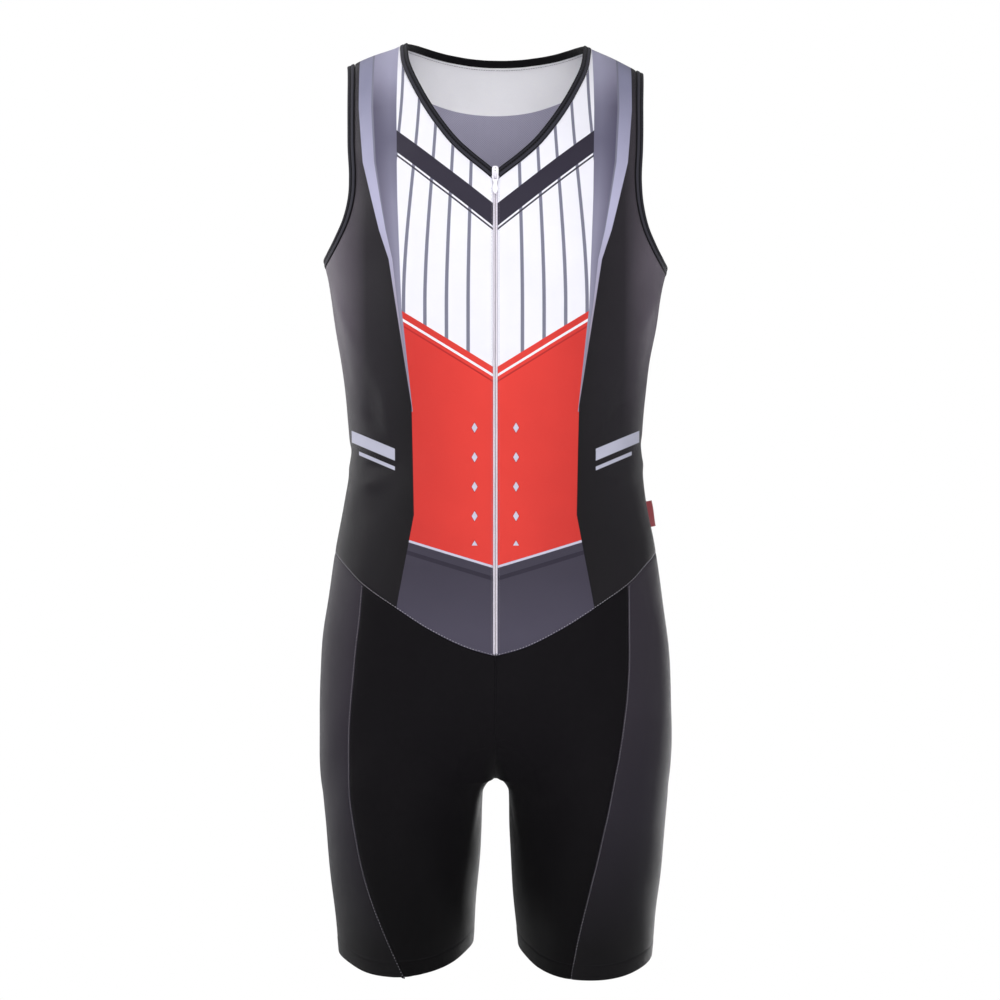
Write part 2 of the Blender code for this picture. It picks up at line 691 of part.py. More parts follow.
def side_label(finish):
    """A small folded label that stands out of the left side seam."""
    seat = Vector(form(0.5, LABEL_RUN))
    up = Vector(form(0.5, LABEL_RUN + MM) - form(0.5, LABEL_RUN - MM)).normalized()
    out = Vector((math.cos(LABEL_SWING), math.sin(LABEL_SWING), 0))
    out = (out - up * out.dot(up)).normalized()
    turned = Matrix((out, up, out.cross(up))).transposed().to_4x4()
    bm = bmesh.new()
    bmesh.ops.create_cube(bm, size=1)
    bmesh.ops.scale(bm, verts=bm.verts, vec=LABEL_SIZE)
    mesh = bpy.data.meshes.new("side_label")
    bm.to_mesh(mesh)
    bm.free()
    mesh.materials.append(finish)
    made = bpy.data.objects.new("side_label", mesh)
    made.matrix_world = Matrix.Translation(seat + out * (LABEL_CLEAR + LABEL_SIZE[0] / 2)) @ turned
    suit.objects.link(made)
    soften(made, 0.3 * MM)
    return made


def main():
    clear_scene()
    print_white = material("printed_front", (0.86, 0.86, 0.9), 0.6)
    black = material("black_jersey", (0.045, 0.042, 0.046), 0.6)
    leg_black = material("leg_black", (0.012, 0.011, 0.014), 0.6)
    charcoal = material("charcoal_jersey", (0.07, 0.06, 0.075), 0.6)
    binding_black = material("binding", (0.02, 0.02, 0.028), 0.7)
    tape = material("zip_tape", (0.75, 0.73, 0.8), 0.7)
    teeth = material("zip_teeth", (0.8, 0.78, 0.82), 0.35)
    metal = material("zip_enamel", (0.85, 0.84, 0.88), 0.3)
    red = material("label", (0.35, 0.02, 0.03), 0.6)

    for side in ("left", "right"):
        cloth_piece("front_" + side, side, trunk_front(), print_white)
        cloth_piece("short_front_" + side, side, leg_front(side), leg_black)
        cloth_piece("short_side_" + side, side, leg_side(side), charcoal)
        cloth_piece("short_back_" + side, side, leg_back(side), leg_black)
        armhole_binding(side, binding_black)
    cloth_piece("back", "left", trunk_back(), black, whole=True)
    neck_binding(binding_black)
    zip_parts(tape, teeth, metal)
    side_label(red)


main()
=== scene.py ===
"""The looks of the sleeveless cycling skinsuit: printed cloth, seams, bindings, zip and label.

Lengths are metres unless a name or a table says mm. +Z is up, the front faces -Y, +X is the wearer's left.
A point of the cloth is (turn, run), as in the part: turn 0 is the centre front, 0.5 the side, 1 the centre
back, and below the crotch it goes round each leg from the inseam. Run is the height, and above the underarm
the length along the cloth to the shoulder seam.
"""
import math

import bmesh
import bpy
import numpy as np
from mathutils import Matrix, Vector


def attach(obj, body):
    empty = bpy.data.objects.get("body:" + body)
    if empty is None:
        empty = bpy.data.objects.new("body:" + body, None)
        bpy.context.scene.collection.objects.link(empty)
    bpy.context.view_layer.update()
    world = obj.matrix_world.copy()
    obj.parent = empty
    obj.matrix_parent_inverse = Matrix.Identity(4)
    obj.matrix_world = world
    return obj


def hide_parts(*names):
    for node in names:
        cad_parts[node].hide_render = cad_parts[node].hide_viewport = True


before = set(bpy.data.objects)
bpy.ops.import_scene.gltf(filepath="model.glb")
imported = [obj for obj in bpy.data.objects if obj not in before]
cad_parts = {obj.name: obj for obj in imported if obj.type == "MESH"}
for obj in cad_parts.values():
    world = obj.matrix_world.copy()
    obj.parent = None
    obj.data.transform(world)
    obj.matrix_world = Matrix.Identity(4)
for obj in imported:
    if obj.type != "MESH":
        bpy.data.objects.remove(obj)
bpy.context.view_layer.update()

MM = 0.001

# ---------------------------------------------------------------- sizes

CLOTH = 1.0 * MM            # thickness of the dressed cloth
SEAM_GAP = 0.3 * MM         # clear width of a seam between two pieces
UNDERARM = -204 * MM        # height where the trunk ends and the straps begin
STRAP_RUN = 314 * MM        # cloth length from the underarm level to the shoulder seam
SHOULDER_RUN = UNDERARM + STRAP_RUN
SHOULDER_Y = 4 * MM         # the shoulder seam lies a little behind the middle
FORK_TOP = -596 * MM        # where the trunk starts to part into two legs
CROTCH = -691.5 * MM
ARCH_RISE = 16 * MM         # height of the arch between the inseams
FORK_FADE = 70 * MM         # the parting ends this far below the crotch on the legs' outer sides
FORK_TURN = 0.06            # share of the turn that the sharp parting keeps to
GAP_FROM, GAP_FADE = -660 * MM, 70 * MM         # the legs' inner sides leave the centre here
FRONT_POWER, BACK_POWER = 0.78, 0.80            # roundness of the trunk's sections
FRONT_STRAP_POWER, BACK_STRAP_POWER = 1.12, 0.78
TILT = 0.021                # the worn suit's left shoulder is lower: fall per length across
TILT_FROM, TILT_FULL = -388 * MM, -200 * MM

EDGE_STEPS = np.array([0, 0.27, 0.6, 1.25, 2.35, 3.95, 6.15]) * MM        # mesh rows beside a seam
HEM_STEPS = np.array([0, 0.3, 0.7, 1.25, 2.4, 5, 8.5, 11.5, 13.2, 14, 14.7, 15.4, 16.3, 18.5]) * MM
SEAM_ROUND = 0.42 * MM      # radius of a cut edge
SEAM_DIP, SEAM_DIP_WIDTH = 0.45 * MM, 1.9 * MM  # the cloth sinks toward a seam
FOLD_RISE, FOLD_FADE = 0.25 * MM, 2 * MM        # doubled cloth stands proud of single cloth
HEM_DEPTH = 14.7 * MM       # the hem's stitch row above its fold
HEM_EXTRA = 0.8 * MM        # the turned cloth inside the hem
HEM_ROUND = 0.8 * MM
HEM_GROOVE, HEM_GROOVE_WIDTH = 0.4 * MM, 0.8 * MM
CROSSING_DROP = 4.2 * MM    # the knot of turned cloth where the leg seams cross
CROSSING_REACH = 7 * MM
THINNEST = 0.12 * MM        # the cloth's thickness at a rolled edge

STITCH_PROUD = 0.12 * MM    # how far the seams' stitches bow up
CLOTH_TURN = 450 * MM       # width of a whole turn on the cloth's own map
BINDING_FROM_ZIP = 4.2 * MM     # the neck binding is cut off this far from the centre
FRONT_EDGE = 2.1 * MM       # the fronts' edges, each side of the centre
CHAIN_TOP, CHAIN_FOOT = -135.5 * MM, -567.5 * MM
TAPE_FROM, TAPE_TO = 0.4 * MM, 13 * MM          # the tapes' edges, from the centre
TAPE_TOP = -146 * MM
TAPE_ABOVE_SEAM = 1.5 * MM
ZIP_ROW = 1.5 * MM          # the zip's stitch row, from the fronts' edges
ZIP_GROOVE, ZIP_GROOVE_WIDTH = 0.3 * MM, 0.6 * MM
COIL_PITCH = 1.27 * MM
COIL_ENDS = (0.38 * MM, 1.80 * MM)              # a tooth's inner and outer end, from the centre
SLIDER_RUN = -138.2 * MM
PIVOT_UP, PIVOT_OUT = -3.15 * MM, 3.2 * MM      # the pull's pivot, from the slider's middle
LABEL_RUN = -440 * MM
LABEL_SIZE = (10 * MM, 25 * MM)
LABEL_SWING = math.radians(56)   # it stands out sideways and leans to the back
LABEL_CLEAR = 1.5 * MM           # from the seam


def table(columns, *rows):
    """A table of millimetres, by column name, in metres; turn is a share and stays as it is."""
    values = np.array(rows, float).T
    return {name: v if name.startswith("turn") else v * MM for name, v in zip(columns.split(), values)}


TRUNK = table(
    "run half_width front back",
    (110, 171.0, 112, 110),
    (-60, 171.0, 112, 110),
    (-150, 169.5, 112, 110),
    (-185, 167.4, 112, 110),
    (-204, 164.4, 112, 110),
    (-220, 160.8, 113, 109),
    (-240, 157.3, 114, 107),
    (-300, 147.2, 110, 95),
    (-345, 141.6, 104, 86),
    (-388, 139.5, 100, 81),
    (-430, 144.5, 99, 85),
    (-475, 152.6, 99, 97),
    (-530, 161.5, 98, 114),
    (-590, 167.5, 96, 121),
    (-640, 169.0, 94, 120),
    (-694, 167.3, 91, 110),
    (-740, 162.8, 88, 98),
    (-790, 157.2, 84, 88),
    (-870, 148.5, 76, 78),
    (-920, 143.0, 71, 73),
)
LEG = table(
    "run inner front back",
    (-560, 0.0, 98, 108),
    (-640, 0.0, 97, 111),
    (-694, 11.0, 94, 104),
    (-740, 13.0, 85, 96),
    (-800, 17.2, 81, 87),
    (-870, 23.0, 72, 77),
    (-920, 27.0, 66, 72),
)
SHOULDER_LINE = table(
    "across top", (0, 34), (45, 29), (70, 20), (90, 9), (115, -1), (135, -10.3), (175, -30)
)
NECK_FRONT = table(
    "turn run", (0.004, -143.5), (0.020, -137), (0.046, -126.5), (0.075, -112.5), (0.105, -91),
    (0.133, -63), (0.155, -31), (0.170, 2), (0.178, 50), (0.181, 110),
)
NECK_BACK = table(
    "turn run", (1, 3.5), (0.972, 5.5), (0.945, 8.8), (0.917, 15.9), (0.888, 28.7), (0.859, 49.7),
    (0.839, 73.6), (0.819, 110),
)
SHOULDER = table("turn run", (0.181, 110), (0.291, 110))
ARMHOLE_FRONT = table(
    "turn run", (0.5, -209), (0.455, -208.3), (0.413, -205), (0.340, -188), (0.3023, -170),
    (0.280, -144), (0.276, -125), (0.279, -86), (0.2825, -21), (0.291, 110),
)
ARMHOLE_BACK = table(
    "turn run", (0.5, -209), (0.555, -208), (0.605, -202), (0.660, -182), (0.695, -155),
    (0.713, -120), (0.714, -80), (0.712, -20), (0.709, 110),
)
WAIST_FRONT = table(
    "turn run", (0, -570), (0.045, -563.5), (0.115, -547.5), (0.190, -527.5), (0.285, -505.5),
    (0.360, -489.5), (0.430, -480), (0.5, -475),
)
WAIST_BACK = table("turn run", (1, -488), (0.86, -486), (0.715, -481), (0.6, -477), (0.5, -475))
SIDE_SEAM_FRONT = {
    "right": table(
        "turn run", (0.285, -505.5), (0.283, -542), (0.286, -575), (0.291, -603), (0.303, -627),
        (0.318, -650), (0.3315, -673), (0.3402, -696), (0.3434, -719), (0.341, -752), (0.322, -788),
        (0.292, -825), (0.245, -871.8),
    ),
    "left": table(
        "turn run", (0.285, -505.5), (0.275, -542), (0.267, -575), (0.260, -603), (0.260, -626),
        (0.2648, -649), (0.2702, -672), (0.2722, -694), (0.2719, -717), (0.267, -750), (0.250, -787),
        (0.230, -824.5), (0.208, -869.5),
    ),
}
SIDE_SEAM_BACK = table(
    "turn run", (0.715, -481), (0.725, -560), (0.720, -630), (0.700, -700), (0.692, -750),
    (0.715, -800), (0.760, -847),
)
HEM = {
    "right": table(
        "turn run", (0, -849), (0.06, -852.8), (0.12, -860.2), (0.19, -866.2), (0.26, -868.7),
        (0.34, -867.5), (0.42, -860.8), (0.5, -857), (0.62, -853), (0.76, -850), (0.88, -848.8), (1, -849),
    ),
    "left": table(
        "turn run", (0, -851.5), (0.06, -857), (0.12, -865.5), (0.19, -871.6), (0.26, -873.2),
        (0.34, -871.2), (0.42, -866), (0.5, -860), (0.62, -855), (0.76, -851.5), (0.88, -850.5), (1, -851.5),
    ),
}
WAIST_JOIN_FRONT, WAIST_JOIN_BACK = 0.285, 0.715

# creases: a curve through three places, mm across (+ is the wearer's left) and up, its width and height
FRONT_CREASES = [
    (0.5, -653, 9, -650.5, 17, -656, 1.6, -0.95),
    (1, -657, 8, -656, 15, -661, 1.8, 0.52),
    (0, -612, 1.5, -628, -0.5, -646, 2.2, 0.60),
    (-1.5, -653.5, -21, -656.5, -33, -668, 2.6, 0.86),
    (-31, -665, -36, -676, -37, -692, 3.0, 0.78),
    (2, -655, 20, -659, 33, -671, 3.4, 0.60),
    (31, -668, 38, -682, 40, -697, 3.6, 0.52),
    (-24, -688, -52, -668, -84, -655, 7, -1.20),
    (22, -690, 50, -672, 80, -664, 7, -1.09),
    (-30, -705, -60, -690, -92, -688, 8, 0.96),
    (30, -708, 58, -696, 84, -692, 8, 0.83),
    (4, -560, 30, -540, 62, -528, 7, -0.96),
    (-4, -552, -34, -536, -70, -520, 8, -0.96),
    (-20, -498, -60, -492, -104, -476, 10, 1.09),
    (26, -505, 62, -500, 98, -489, 9, 0.96),
    (-122, -300, -104, -330, -96, -372, 9, 1.44),
    (120, -290, 104, -322, 99, -360, 9, 1.33),
    (-128, -338, -112, -356, -100, -392, 8, -1.44),
    (126, -330, 110, -352, 101, -384, 8, -1.33),
    (-132, -388, -112, -394, -86, -391, 6, -1.20),
    (131, -380, 110, -389, 84, -390, 6, -1.20),
    (-134, -410, -116, -412, -95, -405, 6, 1.09),
    (133, -404, 114, -408, 92, -403, 6, 1.09),
]
BACK_CREASES = [
    (-96, -352, -30, -366, 48, -360, 8, -1.9),
    (-60, -379, 10, -388, 92, -378, 7, 1.7),
    (-104, -396, -50, -404, 16, -399, 7, -1.7),
    (-20, -420, 44, -424, 104, -412, 8, -1.5),
    (-112, -428, -76, -437, -28, -436, 8, 1.3),
    (-100, -330, -64, -338, -10, -337, 9, 1.3),
    (24, -342, 70, -338, 108, -326, 9, 1.3),
    (-130, -250, -96, -292, -62, -345, 12, -1.7),
    (130, -246, 98, -286, 60, -336, 12, -1.7),
    (-6, -652, -30, -678, -62, -690, 6, -2.1),
    (6, -650, 32, -676, 66, -690, 6, -2.1),
    (-16, -690, -52, -704, -96, -700, 7, 1.7),
    (16, -692, 54, -706, 98, -704, 7, 1.7),
    (-24, -712, -60, -724, -104, -722, 8, -1.7),
    (24, -716, 58, -727, 100, -724, 8, -1.7),
    (-112, -560, -86, -600, -70, -644, 12, 1.3),
    (112, -556, 88, -598, 72, -640, 12, 1.3),
    (-60, -790, -84, -800, -118, -796, 7, -1.1),
    (58, -784, 86, -796, 116, -794, 7, -1.1),
]
# the same round the sides and over the shoulders: turn and run (mm) of three places, by side
ROUND_CREASES = [
    ("right", 0.44, -216, 0.385, -246, 0.33, -296, 9, 1.3),
    ("left", 0.45, -214, 0.39, -240, 0.34, -286, 9, 1.1),
    ("right", 0.475, -226, 0.43, -268, 0.39, -326, 10, -1.5),
    ("left", 0.48, -224, 0.44, -262, 0.40, -318, 10, -1.3),
    ("right", 0.53, -216, 0.58, -252, 0.63, -306, 10, -1.5),
    ("left", 0.53, -218, 0.57, -256, 0.62, -312, 10, -1.5),
    ("right", 0.42, -372, 0.49, -380, 0.57, -374, 6, -1.1),
    ("left", 0.43, -366, 0.50, -375, 0.56, -370, 6, -1.1),
    ("right", 0.44, -400, 0.51, -396, 0.58, -404, 6, 0.9),
    ("left", 0.45, -396, 0.50, -392, 0.60, -398, 6, 0.9),
    ("right", 0.46, -700, 0.52, -712, 0.58, -706, 9, -0.8),
    ("left", 0.45, -690, 0.52, -704, 0.58, -700, 9, -0.8),
    ("right", 0.205, 60, 0.232, 20, 0.25, -40, 7, -0.9),
    ("left", 0.21, 66, 0.238, 24, 0.255, -32, 7, -0.9),
    ("right", 0.26, -96, 0.225, -124, 0.17, -142, 7, 0.7),
    ("left", 0.262, -100, 0.224, -130, 0.165, -146, 7, 0.7),
    ("right", 0.79, 40, 0.765, 0, 0.75, -56, 9, -1.1),
    ("left", 0.79, 34, 0.77, -6, 0.752, -60, 9, -1.1),
    ("right", 0.96, -20, 0.90, -60, 0.83, -84, 12, 0.9),
    ("left", 0.955, -30, 0.89, -66, 0.82, -96, 12, 0.9),
]
RIPPLE = 0.28 * MM          # the cloth beside the zip is drawn into low waves
RIPPLE_PITCH, RIPPLE_REACH = 43 * MM, 15 * MM
RIPPLE_TOP, RIPPLE_FOOT = -140 * MM, -575 * MM
UNEVEN = 0.85 * MM          # broad unevenness of all the cloth, in waves that wander
UNEVEN_ACROSS, UNEVEN_UP, UNEVEN_WANDER = 12.5 * MM, 26 * MM, 43 * MM

# ---------------------------------------------------------------- the form


def smooth(at, keys, values):
    """A column's values at `at`, on a smooth curve through the rows."""
    if keys[0] > keys[-1]:
        keys, values = keys[::-1], values[::-1]
    slopes = np.gradient(values, keys)
    at = np.clip(at, keys[0], keys[-1])
    row = np.clip(np.searchsorted(keys, at) - 1, 0, len(keys) - 2)
    span = keys[row + 1] - keys[row]
    t = (at - keys[row]) / span
    start = (1 + 2 * t) * (1 - t) ** 2 * values[row] + t * (1 - t) ** 2 * span * slopes[row]
    end = t ** 2 * (3 - 2 * t) * values[row + 1] + t ** 2 * (t - 1) * span * slopes[row + 1]
    return start + end


def column(rows, name, run):
    return smooth(run, rows["run"], rows[name])


def ease(t):
    t = np.clip(t, 0, 1)
    return t * t * (3 - 2 * t)


def across(turn, run):
    return column(TRUNK, "half_width", run) * np.sin(math.pi * turn)


def depth(turn, run):
    side = np.cos(math.pi * turn)
    front = -column(TRUNK, "front", run) * np.abs(side) ** FRONT_POWER
    back = column(TRUNK, "back", run) * np.abs(side) ** BACK_POWER
    return np.where(side > 0, front, back)


def trunk(turn, run):
    return np.stack([across(turn, run), depth(turn, run), run + 0 * turn], -1)


def leg(turn, run):
    outer = column(TRUNK, "half_width", run)
    drop = np.clip((CROTCH - run) / ARCH_RISE, 0, 1)
    inseam = column(LEG, "inner", run) * np.sqrt(1 - (1 - drop) ** 2)
    inner = column(LEG, "inner", run) * ease((GAP_FROM - run) / GAP_FADE)
    near = np.exp(-(np.minimum(turn, 1 - turn) / FORK_TURN) ** 2)
    front, back = column(LEG, "front", run), column(LEG, "back", run)
    x = (outer + inner) / 2 - (outer - inner) / 2 * np.cos(2 * math.pi * turn) + (inseam - inner) * near
    y = (back - front) / 2 - (front + back) / 2 * np.sin(2 * math.pi * turn)
    return np.stack([x, y, run + 0 * turn], -1)


def leg_share(turn, run):
    away = 1 - np.exp(-(np.minimum(turn, 1 - turn) / FORK_TURN) ** 2)
    t = np.clip((FORK_TOP - run) / (FORK_TOP - CROTCH + FORK_FADE * away), 0, 1)
    return (1 - np.sqrt(1 - t * t)) * (1 - away) + ease(t) * away


def strap(turn, run):
    angle = (run - UNDERARM) / STRAP_RUN * math.pi / 2
    x = across(turn, run)
    top = smooth(x, SHOULDER_LINE["across"], SHOULDER_LINE["top"])
    power = np.where(turn < 0.5, FRONT_STRAP_POWER, BACK_STRAP_POWER)
    level = np.clip(np.cos(angle), 0, 1) ** power
    y = SHOULDER_Y + (depth(turn, np.minimum(run, UNDERARM)) - SHOULDER_Y) * level
    return np.stack([x, y, UNDERARM + (top - UNDERARM) * np.sin(angle)], -1)


def form(turn, run):
    """Points of the cloth's outer face on the wearer's left half."""
    turn, run = np.broadcast_arrays(np.asarray(turn, float), np.asarray(run, float))
    share = leg_share(turn, run)[..., None]
    below = trunk(turn, run) * (1 - share) + leg(turn, run) * share
    return np.where((run > UNDERARM)[..., None], strap(turn, np.maximum(run, UNDERARM)), below)


def unit(v):
    return v / np.linalg.norm(v, axis=-1, keepdims=True)


def form_normals(turn, run):
    """Outward normals; on the seams that two halves share they lie in the seam's own plane."""
    turn, run = np.broadcast_arrays(np.asarray(turn, float), np.asarray(run, float))
    dt, dr = 0.002, 0.6 * MM
    high = np.minimum(run + dr, SHOULDER_RUN)
    round_it = form(turn + dt, run) - form(turn - dt, run)
    along_it = form(turn, high) - form(turn, run - dr)
    normals = np.cross(round_it, along_it)
    edge = 1e-6
    centre = (turn < edge) | (turn > 1 - edge)
    up = form(turn, high) - form(turn, run)
    sign = np.where(turn < 0.5, -1.0, 1.0)
    crotch_seam = np.stack([0 * turn, sign * up[..., 2], -sign * up[..., 1]], -1)
    down = form(turn, run - dr) - form(turn, run)
    inseam = np.stack([down[..., 2], 0 * turn, -down[..., 0]], -1)
    fork = centre & (run < FORK_TOP)
    normals = np.where((fork & (run > CROTCH + edge))[..., None], crotch_seam, normals)
    normals = np.where((fork & (run <= CROTCH + edge))[..., None], inseam, normals)
    x = across(turn, run)
    line = SHOULDER_LINE
    fall = smooth(x + MM, line["across"], line["top"]) - smooth(x - MM, line["across"], line["top"])
    shoulder = np.stack([-fall, 0 * turn, 2 * MM + 0 * turn], -1)
    normals = np.where((run > SHOULDER_RUN - edge)[..., None], shoulder, normals)
    return unit(normals)


def formed(turn, run):
    """Points and normals of the form on the wearer's left half."""
    return form(turn, run), form_normals(turn, run)


def worn(points):
    """The worn suit's stance: its shoulders are not quite level."""
    share = ease((points[..., 2] - TILT_FROM) / (TILT_FULL - TILT_FROM))
    tilted = points.copy()
    tilted[..., 2] -= TILT * points[..., 0] * share
    return tilted


def mirrored(points):
    return points * np.array([-1.0, 1.0, 1.0])


def polyline(rows, per_row=60):
    turn, run = rows["turn"], rows["run"]
    if len(turn) == 2:
        return np.linspace((turn[0], run[0]), (turn[1], run[1]), per_row)
    steps = np.hypot(np.diff(turn) * math.pi * TRUNK["half_width"][0], np.diff(run))
    at = np.concatenate([[0], np.cumsum(steps)])
    fine = np.linspace(0, at[-1], per_row * len(at))
    return np.stack([smooth(fine, at, turn), smooth(fine, at, run)], -1)


def lengths(points, axis=0):
    """Length along a line of points, from its first."""
    steps = np.linalg.norm(np.diff(points, axis=axis), axis=-1)
    start = np.zeros_like(np.take(steps, [0], axis=axis))
    return np.concatenate([start, np.cumsum(steps, axis=axis)], axis=axis)


def read_at(marks, at, points):
    """A line of points, known at the distances `at` along it, read at other distances."""
    return np.stack([np.interp(marks, at, points[:, k]) for k in range(points.shape[1])], -1)


def cells(points, count):
    """The points that cut a (turn, run) line into `count` stretches of equal length on the cloth."""
    at = lengths(form(points[:, 0], points[:, 1]))
    return read_at(np.linspace(0, at[-1], count + 1), at, points)


def level(rows, turn):
    return smooth(turn, rows["turn"], rows["run"])


def stretch(rows, first, last, points=160):
    turn = np.linspace(first, last, points)
    return np.stack([turn, level(rows, turn)], -1)


def upright(turn, low, high, points=400, finer_at_low=False, finer_at_high=False):
    share = np.linspace(0, 1, points)
    if finer_at_low:
        share = share ** 2
    if finer_at_high:
        share = 1 - (1 - share) ** 2
    return np.stack([turn + 0 * share, low + (high - low) * share], -1)


def turn_at(x, run):
    return np.arcsin(x / column(TRUNK, "half_width", run)) / math.pi


def chain_of(*stretches):
    return np.vstack([stretches[0]] + [part[1:] for part in stretches[1:]])


def patch(centre, side, foot, head):
    """A grid of (turn, run) inside four edges: centre and side run up, foot and head run outward."""
    v = np.linspace(0, 1, len(centre))[:, None, None]
    u = np.linspace(0, 1, len(foot))[None, :, None]
    ruled = (1 - u) * centre[:, None] + u * side[:, None] + (1 - v) * foot[None] + v * head[None]
    corners = (1 - v) * ((1 - u) * foot[0] + u * foot[-1]) + v * ((1 - u) * head[0] + u * head[-1])
    return ruled - corners


# ---------------------------------------------------------------- the panels' outlines

FINE = 6                    # mesh rows for each one of the part, before they are spaced
NECK_CELLS, SHOULDER_CELLS = 10 * FINE, 4 * FINE
SIDE_CELLS, ARMHOLE_CELLS = 7 * FINE, 14 * FINE
LEG_FRONT_CELLS, LEG_SIDE_CELLS = 8 * FINE, 6 * FINE
INSEAM_CELLS, FORK_CELLS = 5 * FINE, 8 * FINE

NECK_LINE_FRONT = cells(polyline(NECK_FRONT), NECK_CELLS)
NECK_LINE_BACK = cells(polyline(NECK_BACK), NECK_CELLS)
ARMHOLE_LINE_FRONT = cells(polyline(ARMHOLE_FRONT), ARMHOLE_CELLS)
ARMHOLE_LINE_BACK = cells(polyline(ARMHOLE_BACK), ARMHOLE_CELLS)
SHOULDER_LINE_FRONT = cells(polyline(SHOULDER), SHOULDER_CELLS)
SHOULDER_LINE_BACK = SHOULDER_LINE_FRONT * [-1, 1] + [1, 0]
SIDE_LINE = cells(upright(0.5, -475 * MM, UNDERARM - 5 * MM), SIDE_CELLS)


def waist_line(rows, centre, join):
    legward = cells(stretch(rows, centre, join), LEG_FRONT_CELLS)
    return chain_of(legward, cells(stretch(rows, join, 0.5), LEG_SIDE_CELLS))


WAIST_LINE_FRONT = waist_line(WAIST_FRONT, 0, WAIST_JOIN_FRONT)
WAIST_LINE_BACK = waist_line(WAIST_BACK, 1, WAIST_JOIN_BACK)


def trunk_front():
    foot = WAIST_LINE_FRONT.copy()
    foot[0] += (foot[1] - foot[0]) * turn_at(FRONT_EDGE, foot[0, 1]) / foot[1, 0]
    side = chain_of(SIDE_LINE, ARMHOLE_LINE_FRONT)
    head = chain_of(NECK_LINE_FRONT, SHOULDER_LINE_FRONT)
    run = cells(upright(0, foot[0, 1], head[0, 1]), len(side) - 1)[:, 1]
    centre = np.stack([turn_at(FRONT_EDGE, run), run], -1)
    head[0] = centre[-1]
    return patch(centre, side, foot, head)


def trunk_back():
    side = chain_of(SIDE_LINE, ARMHOLE_LINE_BACK)
    head = chain_of(NECK_LINE_BACK, SHOULDER_LINE_BACK)
    centre = cells(upright(1, WAIST_LINE_BACK[0, 1], head[0, 1]), len(side) - 1)
    return patch(centre, side, WAIST_LINE_BACK, head)


def centre_line(side, turn, waist):
    inseam = cells(upright(turn, level(HEM[side], turn), CROTCH, finer_at_high=True), INSEAM_CELLS)
    return chain_of(inseam, cells(upright(turn, CROTCH, waist, finer_at_low=True), FORK_CELLS))


def leg_seam(side, rows, waist):
    points = polyline(rows)[::-1]
    points[0, 1], points[-1, 1] = level(HEM[side], points[0, 0]), level(waist, points[-1, 0])
    return cells(points, INSEAM_CELLS + FORK_CELLS)


def leg_front(side):
    seam = leg_seam(side, SIDE_SEAM_FRONT[side], WAIST_FRONT)
    centre = centre_line(side, 0, WAIST_LINE_FRONT[0, 1])
    foot = cells(stretch(HEM[side], 0, seam[0, 0]), LEG_FRONT_CELLS)
    return patch(centre, seam, foot, WAIST_LINE_FRONT[:LEG_FRONT_CELLS + 1])


def leg_back(side):
    seam = leg_seam(side, SIDE_SEAM_BACK, WAIST_BACK)
    centre = centre_line(side, 1, WAIST_LINE_BACK[0, 1])
    foot = cells(stretch(HEM[side], 1, seam[0, 0]), LEG_FRONT_CELLS)
    return patch(centre, seam, foot, WAIST_LINE_BACK[:LEG_FRONT_CELLS + 1])


def leg_side(side):
    front = leg_seam(side, SIDE_SEAM_FRONT[side], WAIST_FRONT)
    back = leg_seam(side, SIDE_SEAM_BACK, WAIST_BACK)
    foot = cells(stretch(HEM[side], front[0, 0], back[0, 0]), 2 * LEG_SIDE_CELLS)
    head = chain_of(WAIST_LINE_FRONT[LEG_FRONT_CELLS:], WAIST_LINE_BACK[:LEG_FRONT_CELLS - 1:-1])
    return patch(front, back, foot, head)


# ---------------------------------------------------------------- creases


def place_on(x, z, back):
    """(turn, run) of the place that is x across and z up on the front or the back, left half."""
    turns = np.linspace(0.5, 1, 200)[::-1] if back else np.linspace(0, 0.5, 200)
    return np.interp(x, form(turns, z)[:, 0], turns), z


def curve_through(first, middle, last):
    t = np.linspace(0, 1, 13)[:, None]
    bend = 2 * middle - (first + last) / 2
    return (1 - t) ** 2 * first + 2 * t * (1 - t) * bend + t ** 2 * last


def crease_line(places):
    """A curve on the form through three (turn, run) places."""
    line = curve_through(*places)
    return form(line[:, 0], line[:, 1])


def crease_over_centre(pairs, back):
    """A crease that crosses the centre: its points are found on both halves."""
    points = []
    for x, z in curve_through(*pairs):
        point = form(*place_on(abs(x), z, back))
        points.append(point if x >= 0 else mirrored(point))
    return np.array(points)


def all_creases():
    """Every crease as its line, its width and its height."""
    made = []
    for rows, back in ((FRONT_CREASES, False), (BACK_CREASES, True)):
        for *spots, width, height in rows:
            sign = -1 if spots[2] < 0 else 1
            pairs = np.array(spots).reshape(3, 2) * MM * [sign, 1]
            if pairs[:, 0].min() >= 0:
                line = crease_line(np.array([place_on(x, z, back) for x, z in pairs]))
            else:
                line = crease_over_centre(pairs, back)
            made.append((line * [sign, 1, 1], width * MM, height * MM))
    for side, *spots, width, height in ROUND_CREASES:
        line = crease_line(np.array(spots).reshape(3, 2) * [1, MM])
        made.append((mirrored(line) if side == "right" else line, width * MM, height * MM))
    return made


CREASES = all_creases()


